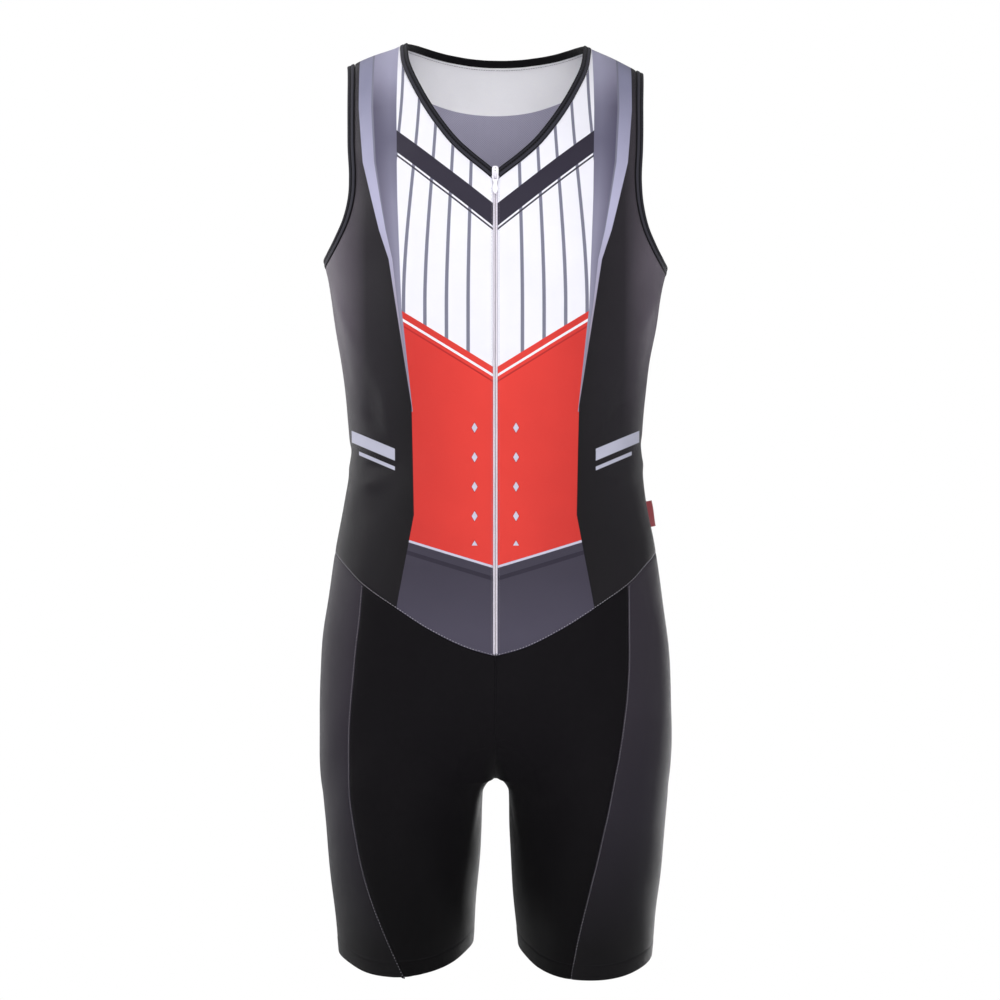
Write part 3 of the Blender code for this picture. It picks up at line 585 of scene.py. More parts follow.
def relief(points):
    """How far the cloth stands off the form: creases, waves beside the zip and broad unevenness."""
    flat = points.reshape(-1, 3)
    x, y, z = flat.T
    wander = x / UNEVEN_ACROSS + 1.7 * np.sin(z / UNEVEN_WANDER)
    lift = UNEVEN * np.sin(wander) * np.sin(z / UNEVEN_UP + y / (30 * MM) + 0.8)
    wave = np.sin(2 * math.pi * z / RIPPLE_PITCH + 2.1 * np.sin(z / (61 * MM)))
    beside_zip = np.exp(-(x / RIPPLE_REACH) ** 2) * (y < 0) * (z > RIPPLE_FOOT)
    lift += RIPPLE * wave * beside_zip * ease((RIPPLE_TOP - z) / (30 * MM))
    for line, width, height in CREASES:
        reach = 3 * width
        near = np.all((flat > line.min(0) - reach) & (flat < line.max(0) + reach), axis=1)
        if not near.any():
            continue
        here = flat[near]
        best = np.full(len(here), 1e9)
        place = np.zeros(len(here))
        for k in range(len(line) - 1):
            step = line[k + 1] - line[k]
            t = np.clip((here - line[k]) @ step / (step @ step), 0, 1)
            gap = np.linalg.norm(here - line[k] - t[:, None] * step, axis=1)
            closer = gap < best
            best = np.where(closer, gap, best)
            place = np.where(closer, (k + t) / (len(line) - 1), place)
        along = np.sin(math.pi * np.clip(place, 0.02, 0.98)) ** 0.8
        uneven = 1 + 0.3 * np.sin(place * 9 + width * 1e4)
        lift[near] += height * along * uneven * np.exp(-(best / width) ** 2)
    return lift.reshape(points.shape[:-1])


# ---------------------------------------------------------------- meshes


def mesh_piece(name, points, faces, materials, slots=None, cloth=None, sharp=50):
    """A mesh object. slots are the faces' material numbers, cloth the points' places on the cloth."""
    mesh = bpy.data.meshes.new(name)
    mesh.from_pydata(np.asarray(points, float).tolist(), [], [list(map(int, f)) for f in faces])
    for finish in materials:
        mesh.materials.append(finish)
    if slots is not None:
        mesh.polygons.foreach_set("material_index", np.asarray(slots, np.int32))
    if cloth is not None:
        layer = mesh.uv_layers.new(name="cloth")
        index = np.zeros(len(mesh.loops), np.int32)
        mesh.loops.foreach_get("vertex_index", index)
        layer.data.foreach_set("uv", np.asarray(cloth, np.float32)[index].ravel())
    mesh.shade_smooth()
    if sharp:
        mesh.set_sharp_from_angle(angle=math.radians(sharp))
    made = bpy.data.objects.new(name, mesh)
    bpy.context.scene.collection.objects.link(made)
    return made


def turned_out(mesh):
    bm = bmesh.new()
    bm.from_mesh(mesh)
    bmesh.ops.recalc_face_normals(bm, faces=bm.faces)
    bm.to_mesh(mesh)
    bm.free()


def spaced(grid, axis, first, last, pitch, fine=None):
    """The grid with its lines along an axis set again: close to both ends, then evenly.

    fine is (from, to, pitch) for a stretch of closer lines, measured along the longest line."""
    if axis == 0:
        return spaced(grid.transpose(1, 0, 2), 1, first, last, pitch, fine).transpose(1, 0, 2)
    at = lengths(form(grid[..., 0], grid[..., 1]), axis=1)
    low, high = first[-1], at[:, -1].max() - last[-1]
    stretches = [(low, high, pitch)]
    if fine:
        start, stop = max(low, fine[0]), min(high, fine[1])
        stretches = [(low, start, pitch), (start, stop, fine[2]), (stop, high, pitch)]
    parts = [np.linspace(a, b, max(1, round((b - a) / p)) + 1) for a, b, p in stretches if b - a > 0.5 * p]
    share = (np.unique(np.concatenate(parts)) - low) / (high - low)
    share = share[np.concatenate([[True], np.diff(share) > 1e-6])]
    rows = []
    for line, run in zip(grid, at):
        room = min(1, run[-1] / (first[-1] + last[-1]) / 1.5)
        low, high = first * room, run[-1] - last[::-1] * room
        middle = low[-1] + (high[0] - low[-1]) * share
        marks = np.concatenate([low[:-1], middle, high[1:]])
        rows.append(read_at(marks, run, line))
    return np.array(rows)


def drawn_in(points, normals):
    """The grid with its four edges moved inward by half a seam's gap."""
    moved = points.copy()
    rows = [(np.s_[0], np.s_[2]), (np.s_[-1], np.s_[-3])]
    columns = [(np.s_[:, 0], np.s_[:, 2]), (np.s_[:, -1], np.s_[:, -3])]
    for edge, inside in rows + columns:
        way = unit(np.cross(normals[edge], np.gradient(points[edge], axis=0)))
        sign = np.sign(np.sum(way * (points[inside] - points[edge]), -1, keepdims=True))
        moved[edge] += way * sign * SEAM_GAP / 2
    return moved


def rounded(gap, radius):
    """How far a round edge falls away at a distance from the edge."""
    near = np.clip(gap, 0, radius)
    return radius - np.sqrt(np.maximum(radius ** 2 - (radius - near) ** 2, 0))


def seam_dip(gap):
    return SEAM_DIP * np.exp(-(gap / SEAM_DIP_WIDTH) ** 2)


def shell(name, outer, inner, cloth, materials):
    """A closed thin wall between two grids; its inside has the second material."""
    rows, columns = outer.shape[:2]
    index = np.arange(rows * columns).reshape(rows, columns)
    below = rows * columns
    quads = np.stack([index[:-1, :-1], index[:-1, 1:], index[1:, 1:], index[1:, :-1]], -1).reshape(-1, 4)
    faces, slots = [quads, quads[:, ::-1] + below], [0] * len(quads) + [1] * len(quads)
    for side in (index[0, :], index[:, -1], index[-1, ::-1], index[::-1, 0]):
        faces.append(np.stack([side[:-1], side[:-1] + below, side[1:] + below, side[1:]], -1))
        slots += [0] * (len(side) - 1)
    points = np.vstack([outer.reshape(-1, 3), inner.reshape(-1, 3)])
    places = np.vstack([cloth.reshape(-1, 2)] * 2)
    made = mesh_piece(name, points, np.vstack(faces), materials, slots, places, sharp=60)
    turned_out(made.data)
    return made


def doubled(gap, fold_at, row_at, groove, groove_width):
    """How a turned edge stands proud up to its fold's end, and sinks at its stitch row."""
    fold = 1 - ease((gap - fold_at) / FOLD_FADE)
    return FOLD_RISE * fold - groove * np.exp(-((gap - row_at) / groove_width) ** 2), fold


def cloth_panel(name, side, grid, materials, pitch, hem=False, whole=False, zip_edge=False,
                fine=(None, None)):
    """A panel of cloth on the form, with rolled seam edges, creases and, on a leg, its turned hem.

    whole makes both halves in one piece; fine is the stretches of closer rows up the panel and round it."""
    foot = HEM_STEPS if hem else EDGE_STEPS
    near = np.array([0.0, MM]) if whole else EDGE_STEPS
    grid = spaced(grid, 1, near, EDGE_STEPS, pitch, fine[1])
    grid = spaced(grid, 0, foot, EDGE_STEPS, pitch, fine[0])
    outer, normals = formed(grid[..., 0], grid[..., 1])
    cloth = grid * [CLOTH_TURN, 1]
    if whole:
        outer = np.concatenate([mirrored(outer[:, :0:-1]), outer], 1)
        normals = np.concatenate([mirrored(normals[:, :0:-1]), normals], 1)
        cloth = np.concatenate([cloth[:, :0:-1] * [-1, 1] + [2 * CLOTH_TURN, 0], cloth], 1)
    outer = drawn_in(outer, normals)
    if side == "right":
        outer, normals = mirrored(outer), mirrored(normals)
    up, round_it = lengths(outer, 0), lengths(outer, 1)
    foot_gap, head_gap = up, up[-1:] - up
    centre_gap, side_gap = round_it, round_it[:, -1:] - round_it
    seams = [head_gap, side_gap]
    top, thick = relief(outer), CLOTH + 0 * up
    if hem:
        rise, fold = doubled(foot_gap, HEM_DEPTH, HEM_DEPTH, HEM_GROOVE, HEM_GROOVE_WIDTH)
        top += rise - rounded(foot_gap, HEM_ROUND)
        thick += HEM_EXTRA * fold - 2 * rounded(foot_gap, HEM_ROUND)
    else:
        seams.append(foot_gap)
    if zip_edge:
        rise, fold = doubled(centre_gap, TAPE_TO - FRONT_EDGE, ZIP_ROW, ZIP_GROOVE, ZIP_GROOVE_WIDTH)
        top += rise - rounded(centre_gap, SEAM_ROUND)
        thick -= 2 * rounded(centre_gap, SEAM_ROUND)
    else:
        seams.append(centre_gap)
    for gap in seams:
        top -= seam_dip(gap) + rounded(gap, SEAM_ROUND)
        thick -= 2 * rounded(gap, SEAM_ROUND)
    thick = np.maximum(thick, THINNEST)
    face = outer + normals * top[..., None]
    back = outer + normals * (top - thick)[..., None]
    return shell(name, worn(face), worn(back), cloth, materials)


def bars(name, sections, materials, slots=None, closed=False, sharp=50):
    """Bars through rings of points; sections is a list of (stations, points, 3) arrays."""
    points, faces, places, marks, start = [], [], [], [], 0
    for n, rings in enumerate(sections):
        stations, sides = rings.shape[:2]
        index = start + np.arange(stations * sides).reshape(stations, sides)
        if closed:
            index = np.vstack([index, index[:1]])
        turn = np.roll(index, -1, axis=1)
        quads = np.stack([index[:-1], turn[:-1], turn[1:], index[1:]], -1).reshape(-1, 4).tolist()
        if not closed:
            quads += [index[0].tolist(), index[-1, ::-1].tolist()]
        at = np.broadcast_arrays(lengths(rings[:, 0])[:, None], np.arange(sides) * 0.4 * MM)
        places.append(np.stack(at, -1).reshape(-1, 2))
        points.append(rings.reshape(-1, 3))
        faces += quads
        marks += [0 if slots is None else slots[n]] * len(quads)
        start += stations * sides
    made = mesh_piece(name, np.vstack(points), faces, materials, marks, np.vstack(places), sharp)
    turned_out(made.data)
    return made


# ---------------------------------------------------------------- places on the worn cloth


def cloth_at(turn, run, side):
    """Points and normals of the worn cloth's face, before the stance; turns may pass a centre seam."""
    turn, run = np.broadcast_arrays(np.asarray(turn, float), np.asarray(run, float))
    over = (turn < 0) | (turn > 1)
    leg_part = run <= CROTCH
    crossed = over & ~leg_part
    turn = np.where(over & leg_part, turn % 1, turn)
    turn = np.where(crossed, np.where(turn < 0, -turn, 2 - turn), turn)
    points, normals = formed(turn, run)
    if side == "right":
        points, normals = mirrored(points), mirrored(normals)
    points = np.where(crossed[..., None], mirrored(points), points)
    normals = np.where(crossed[..., None], mirrored(normals), normals)
    return points + normals * relief(points)[..., None], normals


def beside(line, gap):
    """The line moved across itself on the cloth, by the same distance all along: (turn, run) pairs."""
    wide = np.maximum(column(TRUNK, "half_width", line[:, 1]) * math.pi, 0.1).mean()
    way = unit(np.gradient(line * [wide, 1], axis=0))
    shift = np.stack([-way[:, 1], way[:, 0]], -1) * 0.5 * MM / [wide, 1]
    here, there = (form(np.clip(at[:, 0], 0.001, 0.999), at[:, 1]) for at in (line, line + shift))
    real = np.maximum(np.linalg.norm(there - here, axis=-1), 0.2 * MM)
    return line + shift * (gap / real)[:, None]


def along(line, pitch):
    """The line cut into steps of a given length on the cloth."""
    at = lengths(form(np.clip(line[:, 0], 0, 1), line[:, 1]))
    count = max(2, int(round(at[-1] / pitch)))
    return read_at(np.linspace(0, at[-1], count + 1), at, line)


def ribbon(line, side, offsets, heights, pitch=3 * MM):
    """Rings of a flat strip that lies along a line of the cloth."""
    line = along(line, pitch)
    rings = []
    for gap, height in zip(offsets, heights):
        moved = beside(line, gap)
        points, normals = cloth_at(moved[:, 0], moved[:, 1], side)
        rings.append(worn(points + normals * height))
    return np.stack(rings, 1)


def stitch(ends, normal, radius, proud):
    """One stitch: a short thread, bowed up between its two needle holes."""
    first, last = ends
    way = last - first
    side = np.cross(normal, way)
    side /= np.linalg.norm(side)
    rings = []
    for share in (0.0, 0.25, 0.5, 0.75, 1.0):
        bow = math.sin(math.pi * share)
        centre = first + way * share + normal * (proud * bow ** 0.5 - 0.25 * radius)
        size = radius * (0.55 + 0.45 * bow ** 0.5)
        rings.append([
            centre + side * size * math.cos(a) + normal * size * 0.8 * math.sin(a)
            for a in (k * math.pi / 3 for k in range(6))
        ])
    return np.array(rings)


def end_to_end(points, normals, half_share, radius, proud):
    """A stitch on each step of a line of points, over a share of the step to each side of its middle."""
    made = []
    for a, b, normal in zip(points, points[1:], normals):
        middle, half = (a + b) / 2, (b - a) * half_share
        made.append(stitch((middle - half, middle + half), normal, radius, proud))
    return made


def stitch_row(line, side, gap, pitch, length, radius, height, inside=False):
    """Stitches along a line of the cloth, at a distance beside it and a height over its face."""
    line = beside(along(line, pitch), gap)
    points, normals = cloth_at(line[:, 0], line[:, 1], side)
    points = worn(points + normals * height)
    normals = -normals if inside else normals
    made = []
    for a, b, normal in zip(points, points[1:], normals):
        middle, half = (a + b) / 2, unit(b - a) * length / 2
        made.append(stitch((middle - half, middle + half), normal, radius, STITCH_PROUD))
    return made


# ---------------------------------------------------------------- finishes


def colour(red, green, blue):
    """A screen colour, 0 to 255, as linear light."""
    shares = (v / 255 for v in (red, green, blue))
    return tuple(v / 12.92 if v <= 0.04 else ((v + 0.055) / 1.055) ** 2.4 for v in shares)


class Wire:
    """A value inside a material, with arithmetic."""

    def __init__(self, look, socket):
        self.look, self.socket = look, socket

    def work(self, operation, *others, clamp=False):
        settings = {"operation": operation, "use_clamp": clamp}
        return self.look.node("ShaderNodeMath", settings, values=[self, *others])

    def __add__(self, other):
        return self.work("ADD", other)

    def __sub__(self, other):
        return self.work("SUBTRACT", other)

    def __rsub__(self, other):
        return self.look.node("ShaderNodeMath", {"operation": "SUBTRACT"}, values=[other, self])

    def __mul__(self, other):
        return self.work("MULTIPLY", other)

    def __truediv__(self, other):
        return self.work("DIVIDE", other)

    __radd__, __rmul__ = __add__, __mul__

    def size(self):
        return self.work("ABSOLUTE")

    def sine(self):
        return self.work("SINE")

    def most(self, other):
        return self.work("MAXIMUM", other)

    def above(self, edge, soft=0.35 * MM):
        """1 where the value is over an edge, 0 below it, with a soft step."""
        return ((self - edge) / soft + 0.5).work("ADD", 0.0, clamp=True)

    def below(self, edge, soft=0.35 * MM):
        return 1 - self.above(edge, soft)

    def between(self, low, high, soft=0.35 * MM):
        return self.above(low, soft) * self.below(high, soft)

    def wave(self, pitch):
        return (self * (2 * math.pi / pitch)).sine()

    def zigzag(self, pitch):
        """0 to 1 and back over each pitch."""
        return self.work("PINGPONG", pitch / 2) / (pitch / 2)

    def through(self, rows):
        """The value looked up in rows of (from, to), straight between them."""
        total = rows[0][1]
        for (a, first), (b, last) in zip(rows, rows[1:]):
            total = self.look.node("ShaderNodeMapRange", values=[self, a, b, 0.0, last - first]) + total
        return total


class Look:
    """A material and the nodes it is made with."""

    def __init__(self, name, roughness=0.7, sheen=0.0, specular=0.25, coat=0.0):
        self.material = bpy.data.materials.new(name)
        self.material.use_nodes = True
        self.tree = self.material.node_tree
        self.shader = self.tree.nodes["Principled BSDF"]
        self.set("Roughness", roughness)
        self.set("Sheen Weight", sheen)
        self.set("Sheen Roughness", 0.45)
        self.set("Specular IOR Level", specular)
        self.set("Coat Weight", coat)

    def put(self, socket, value):
        if isinstance(value, Wire):
            self.tree.links.new(value.socket, socket)
        elif isinstance(value, tuple) and socket.type == "RGBA":
            socket.default_value = (*value, 1)
        else:
            socket.default_value = value

    def set(self, name, value):
        self.put(self.shader.inputs[name], value)

    def node(self, kind, settings=None, values=(), named=None, out=0):
        made = self.tree.nodes.new(kind)
        for key, value in (settings or {}).items():
            setattr(made, key, value)
        for socket, value in zip(made.inputs, values):
            self.put(socket, value)
        for key, value in (named or {}).items():
            self.put(made.inputs[key], value)
        return Wire(self, made.outputs[out])

    def place(self):
        """Where a point is: across, back and up, as three values."""
        spot = self.node("ShaderNodeTexCoord", out=3)
        return [self.node("ShaderNodeSeparateXYZ", values=[spot], out=k) for k in range(3)]

    def cloth_place(self):
        spot = self.node("ShaderNodeUVMap", {"uv_map": "cloth"})
        return [self.node("ShaderNodeSeparateXYZ", values=[spot], out=k) for k in range(2)]

    def mottling(self, size, detail=3.0, seed=0.0):
        """Soft random patches, 0 to 1, about `size` across."""
        spot = self.node("ShaderNodeTexCoord", out=3)
        moved = self.node("ShaderNodeVectorMath", {"operation": "ADD"}, values=[spot, (seed, seed, 0.0)])
        return self.node("ShaderNodeTexNoise", named={"Vector": moved, "Scale": 1 / size, "Detail": detail})

    def mix(self, first, second, mask, blend="MIX"):
        made = self.tree.nodes.new("ShaderNodeMix")
        made.data_type, made.blend_type = "RGBA", blend
        self.put(made.inputs[0], mask)
        self.put(made.inputs[6], first)
        self.put(made.inputs[7], second)
        return Wire(self, made.outputs[2])

    def shaded(self, base, amount, size, seed=0.0):
        """A colour made a little darker and lighter in patches."""
        strength = 1 - amount + self.mottling(size, seed=seed) * (2 * amount)
        grey = self.node("ShaderNodeCombineXYZ", values=[strength, strength, strength])
        return self.mix(base, grey, 1.0, blend="MULTIPLY")

    def bump(self, height, depth):
        made = self.node("ShaderNodeBump", named={"Height": height, "Distance": depth, "Strength": 1.0})
        self.set("Normal", made)


def knit_height(look, wale=0.62 * MM, course=0.55 * MM):
    """Loops of a fine jersey: small V shapes in upright columns."""
    across_it, up_it = look.cloth_place()
    loop = across_it.zigzag(wale)
    return (up_it + loop * course * 0.9).wave(course) * 0.5 + loop * 0.5


def jersey(name, base, sheen=0.25, roughness=0.72, specular=0.12, knit=0.07 * MM, uneven=0.05, wear=0.03):
    """Knit cloth in a colour, or in a colour that a function lays out on the look."""
    look = Look(name, sheen=sheen, specular=specular)
    laid = base(look) if callable(base) else base
    laid = look.shaded(laid, uneven, 35 * MM)
    laid = look.shaded(laid, wear, 1.3 * MM, seed=3.0)
    look.set("Base Color", laid)
    look.set("Roughness", roughness - 0.06 + look.mottling(22 * MM) * 0.12)
    look.bump(knit_height(look) + look.mottling(0.5 * MM, 1.0) * 0.5, knit)
    return look.material


# ---------------------------------------------------------------- the print

WHITE, PALE_GREY = colour(240, 239, 248), colour(190, 190, 208)
YOKE_WHITE = colour(218, 217, 226)
STRIPE = colour(122, 122, 140)
RED, DEEP_RED = colour(234, 66, 57), colour(182, 40, 40)
SLATE, DARK_SLATE = colour(64, 60, 74), colour(48, 44, 58)
BLACK_GROUND, SIDE_STRETCH_AND_SHEEN_BLACK, PULLED_AND_SHEEN_BLACK = colour(12, 9, 13), colour(42, 38, 45), colour(110, 102, 113)
YOKE_FOOT, YOKE_BEND = -43.5 * MM, 2.6
LILAC, DIM_LILAC = colour(182, 180, 208), colour(76, 70, 94)
SILVER = colour(205, 203, 222)

# (height, half width) of the coloured middle; outside it the cloth is black
MIDDLE = [(-560, 97), (-518, 90), (-440, 75), (-340, 77), (-205, 98), (-178, 107), (-150, 114), (-113, 123),
          (-60, 128), (40, 131)]
BAND_INSIDE = [(-345, 76), (-250, 86), (-150, 90), (-60, 92), (40, 92)]   # where the shoulder bands end
PINSTRIPE_PITCH, PINSTRIPE = 16.5 * MM, 2.7 * MM
RED_TOP, RED_SLOPE = -306 * MM, 0.62        # the red block's upper V: height at the zip, rise outward
RED_FOOT, FOOT_SLOPE = -487 * MM, 0.30      # and its lower one


def metres(rows):
    return [(a * MM, b * MM) for a, b in rows]


def black_body(look, far, z):
    """The body's black, painted greyer round the sides and toward the top as painted sheen, and lightest
    under the arms as a painted sheen highlight; partly also the greying of stretched knit.
    """
    # painted sheen: greyer toward the sides and higher up, partly the greying of stretched knit
    side = far.above(106 * MM, 80 * MM) * (0.35 + z.above(-390 * MM, 150 * MM) * 0.65)
    laid = look.mix(BLACK_GROUND, SIDE_STRETCH_AND_SHEEN_BLACK, side)
    # painted sheen highlight under the arms, in patches, partly the greying of stretched knit
    pull_and_sheen = far.above(136 * MM, 34 * MM) * z.between(-330 * MM, -90 * MM, 120 * MM)
    return look.mix(laid, PULLED_AND_SHEEN_BLACK, pull_and_sheen * (0.45 + look.mottling(45 * MM, seed=5.0) * 0.7))


def yoke_height(x):
    """Height of the white yoke's lower edge on the back."""
    return x * x * YOKE_BEND + YOKE_FOOT


def printed(look):
    """The front's print: striped chest, shoulder bands, red and slate blocks, black sides."""
    x, _, z = look.place()
    far = x.size()
    middle = z.through(metres(MIDDLE))
    inside = z.through(metres(BAND_INSIDE))

    # white chest with grey pinstripes
    spread = look.node("ShaderNodeMapRange", {"interpolation_type": "SMOOTHSTEP"},
                       values=[z, -30 * MM, -250 * MM, 1.0, 1.2])
    place = far / spread + PINSTRIPE_PITCH * 0.25
    off_stripe = (place.work("PINGPONG", PINSTRIPE_PITCH / 2) - PINSTRIPE_PITCH / 2).size()
    laid = look.mix(WHITE, STRIPE, off_stripe.below(PINSTRIPE / 2) * far.above(8 * MM))
    # dark band in a V below the neck
    rise = z - far * 0.80
    laid = look.mix(laid, DARK_SLATE, rise.between(-178 * MM, -157 * MM))
    laid = look.mix(laid, SLATE, rise.between(-182 * MM, -180 * MM))

    # red block between two V edges, with thin lines of its own
    top = z - far * RED_SLOPE
    foot = z - far * FOOT_SLOPE
    red = look.mix(RED, DEEP_RED, look.mottling(60 * MM) * 0.35)
    red = look.mix(red, DEEP_RED, far.above(45 * MM, 60 * MM) * 0.35)
    laid = look.mix(laid, red, top.below(RED_TOP))
    laid = look.mix(laid, WHITE, top.between(RED_TOP - 9 * MM, RED_TOP - 6.5 * MM))
    laid = look.mix(laid, DEEP_RED, top.between(RED_TOP - 14 * MM, RED_TOP - 12.5 * MM))
    slate = look.mix(SLATE, colour(76, 72, 88), z.below(-520 * MM, 60 * MM))
    laid = look.mix(laid, slate, foot.below(RED_FOOT))
    laid = look.mix(laid, SILVER, foot.between(RED_FOOT - 2.2 * MM, RED_FOOT))
    laid = look.mix(laid, DARK_SLATE, foot.between(RED_FOOT - 14 * MM, RED_FOOT - 10 * MM))

    # silver lozenges beside the zip
    step = (z + 360 * MM).work("PINGPONG", 13.5 * MM)
    spot = (far - 19 * MM).size() * 1.7 + step
    rows = z.between(-468 * MM, -342 * MM)
    laid = look.mix(laid, DEEP_RED, spot.below(5.6 * MM) * rows)
    laid = look.mix(laid, SILVER, spot.below(4.6 * MM) * rows)

    # bands from the shoulders, narrowing to the waist
    share = ((far - inside) / (middle - inside).most(1 * MM)).work("ADD", 0.0, clamp=True)
    satin = look.mix(DIM_LILAC, colour(132, 130, 152), share.below(0.45, 0.5))
    satin = look.mix(satin, colour(196, 194, 222), z.above(-15 * MM, 90 * MM) * 0.85)
    satin = look.mix(satin, colour(150, 148, 170), z.below(-170 * MM, 130 * MM) * 0.7)
    satin = look.mix(satin, colour(84, 82, 104), z.between(-125 * MM, -60 * MM, 60 * MM) * 0.6)
    shine = look.mix(LILAC, colour(138, 138, 164), z.above(-95 * MM, 110 * MM))
    shine = look.mix(shine, colour(150, 140, 156), z.below(-230 * MM, 120 * MM))
    satin = look.mix(satin, shine, share.above(0.66, 0.03))
    satin = look.mix(satin, STRIPE, share.between(0.615, 0.66, 0.02))
    laid = look.mix(laid, satin, far.above(inside) * z.above(-345 * MM))

    # black sides with two slanted flashes
    ground = black_body(look, far, z)
    slant = z - (far - 95 * MM) * 0.42
    flash = slant.between(-389 * MM, -378 * MM) * far.between(93 * MM, 136 * MM)
    flash = flash + slant.between(-398 * MM, -394.5 * MM) * far.between(93 * MM, 128 * MM)
    ground = look.mix(ground, PALE_GREY, flash)
    return look.mix(laid, ground, far.above(middle))


def back_reverse(look):
    """Inside of the back: a white yoke over grey cloth with fine dots in rows; the grey is painted darker
    lower down as painted shade deep inside the suit.
    """
    x, _, z = look.place()
    across_it, up_it = look.cloth_place()
    # painted shade: the grey inside darkens lower down, deeper in the suit
    grey = look.mix(colour(128, 125, 142), colour(172, 169, 190), z.above(-120 * MM, 150 * MM))
    dots = across_it.wave(1.9 * MM) * up_it.wave(1.9 * MM)
    grey = look.mix(grey, colour(104, 101, 116), dots.above(0.35, 0.3) * 0.5)
    return look.mix(grey, colour(252, 251, 255), z.above(yoke_height(x)))


def yoke_outside(look):
    """Outside of the back: black, with a plain white band across the shoulders."""
    x, _, z = look.place()
    return look.mix(black_body(look, x.size(), z), YOKE_WHITE, z.above(yoke_height(x)))


def leg_black(look):
    """The legs' black, painted darker toward the hem as painted shade."""
    *_, z = look.place()
    # painted shade: darker below the thighs down to the hem
    return look.mix(colour(9, 6, 11), colour(2, 1, 3), z.below(-750 * MM, 160 * MM))


def side_charcoal(look):
    """The side pieces' charcoal, painted darker downward as painted shade, nearly black at the hem."""
    *_, z = look.place()
    # painted shade: the charcoal darkens below the hips, nearly black at the hem
    laid = look.mix(colour(47, 42, 51), colour(38, 34, 43), z.below(-660 * MM, 100 * MM))
    return look.mix(laid, colour(6, 4, 8), z.below(-780 * MM, 130 * MM))


def ribbed(name, base, crest_highlight):
    """Binding of ribbed knit: fine ridges across the strip, with a painted highlight on its two crests."""
    look = Look(name, roughness=0.78, sheen=0.08, specular=0.10)
    along_it, round_it = look.cloth_place()
    rib = along_it.wave(0.85 * MM) * 0.5 + 0.5
    # painted highlight on the two crests, brighter on each rib
    crest_highlight_mask = round_it.between(1.0 * MM, 2.1 * MM, 0.3 * MM)
    crest_highlight_mask = crest_highlight_mask + round_it.between(3.1 * MM, 3.9 * MM, 0.3 * MM) * 0.6
    tint = look.shaded(base, 0.10, 9 * MM)
    look.set("Base Color", look.mix(tint, crest_highlight, crest_highlight_mask * (0.55 + rib * 0.45)))
    look.bump(rib + look.mottling(0.4 * MM) * 0.4, 0.12 * MM)
    return look.material


def plain(name, base, roughness=0.5, specular=0.3, sheen=0.0, uneven=0.06, grain=0.02 * MM, coat=0.0):
    look = Look(name, roughness=roughness, specular=specular, sheen=sheen, coat=coat)
    look.set("Base Color", look.shaded(base, uneven, 6 * MM))
    look.bump(look.mottling(0.6 * MM), grain)
    return look.material


def woven(name, base, pitch=0.55 * MM, roughness=0.6):
    look = Look(name, roughness=roughness, specular=0.3, sheen=0.2)
    across_it, up_it = look.cloth_place()
    weave = across_it.wave(pitch) * up_it.wave(pitch)
    dim = tuple(v * 0.7 for v in base)
    look.set("Base Color", look.mix(look.shaded(base, 0.06, 4 * MM), dim, weave.above(0.0, 0.8) * 0.4))
    look.bump(weave, 0.06 * MM)
    return look.material


print_cloth = jersey("printed jersey", printed, sheen=0.03, specular=0.18, roughness=0.47, uneven=0.03,
                     wear=0.015)
print_reverse = jersey("reverse of the print", colour(205, 203, 216), uneven=0.05)
back_cloth = jersey("back jersey", yoke_outside, sheen=0.03, specular=0.18, roughness=0.47)
back_inside = jersey("reverse of the back", back_reverse, uneven=0.05)
leg_cloth = jersey("black leg jersey", leg_black, sheen=0.035, specular=0.10, roughness=0.5)
leg_inside = jersey("reverse of the leg", colour(30, 28, 33), sheen=0.15)
side_cloth = jersey("charcoal jersey", side_charcoal, sheen=0.05, specular=0.17, roughness=0.5)
side_inside = jersey("reverse of the side", colour(56, 52, 60), sheen=0.15)
# the second colour is the painted highlight on the binding's crests
binding_cloth = ribbed("ribbed binding", colour(13, 12, 15), colour(60, 59, 68))
allowance_cloth = jersey("seam allowance", colour(40, 38, 44))
pale_allowance = jersey("pale seam allowance", colour(190, 188, 200))
tape_cloth = woven("zip tape", colour(226, 222, 236))
light_thread = plain("light grey thread", colour(184, 181, 192), roughness=0.55)
dark_thread = plain("dark thread", colour(26, 24, 30), roughness=0.6)
grey_thread = plain("grey thread", colour(128, 122, 132), roughness=0.6)
coil_plastic = plain("white zip coil", colour(246, 240, 248), roughness=0.35, specular=0.45)
cord_plastic = plain("grey zip cord", colour(150, 144, 152), roughness=0.6)
enamel = plain("white enamel", colour(236, 232, 242), roughness=0.28, specular=0.5, coat=0.3,
               grain=0.006 * MM)
label_satin = woven("red label satin", colour(150, 40, 50), pitch=0.4 * MM, roughness=0.42)


# ---------------------------------------------------------------- the pieces

LEG_FINE = ((140 * MM, 208 * MM, 1.35 * MM), (0.0, 46 * MM, 1.5 * MM))


def settle(piece, slot, *nodes, body="suit"):
    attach(piece, body)
    if nodes:
        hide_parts(*nodes)
    return piece


def panels():
    """The cut and sewn cloth, each piece in place of its solid."""
    for side in ("left", "right"):
        made = cloth_panel("dressed_front_" + side, side, trunk_front(), [print_cloth, print_reverse],
                           2.9 * MM, zip_edge=True)
        settle(made, "printed_front", "front_" + side)
        made = cloth_panel("dressed_short_front_" + side, side, leg_front(side), [leg_cloth, leg_inside],
                           2.9 * MM, hem=True, fine=LEG_FINE)
        settle(made, "leg_black", "short_front_" + side)
        made = cloth_panel("dressed_short_side_" + side, side, leg_side(side), [side_cloth, side_inside],
                           3.1 * MM, hem=True)
        settle(made, "charcoal_jersey", "short_side_" + side)
        made = cloth_panel("dressed_short_back_" + side, side, leg_back(side), [leg_cloth, leg_inside],
                           3.1 * MM, hem=True)
        settle(made, "leg_black", "short_back_" + side)
    made = cloth_panel("dressed_back", "left", trunk_back(), [back_cloth, back_inside], 3.2 * MM, whole=True)
    settle(made, "black_jersey", "back")


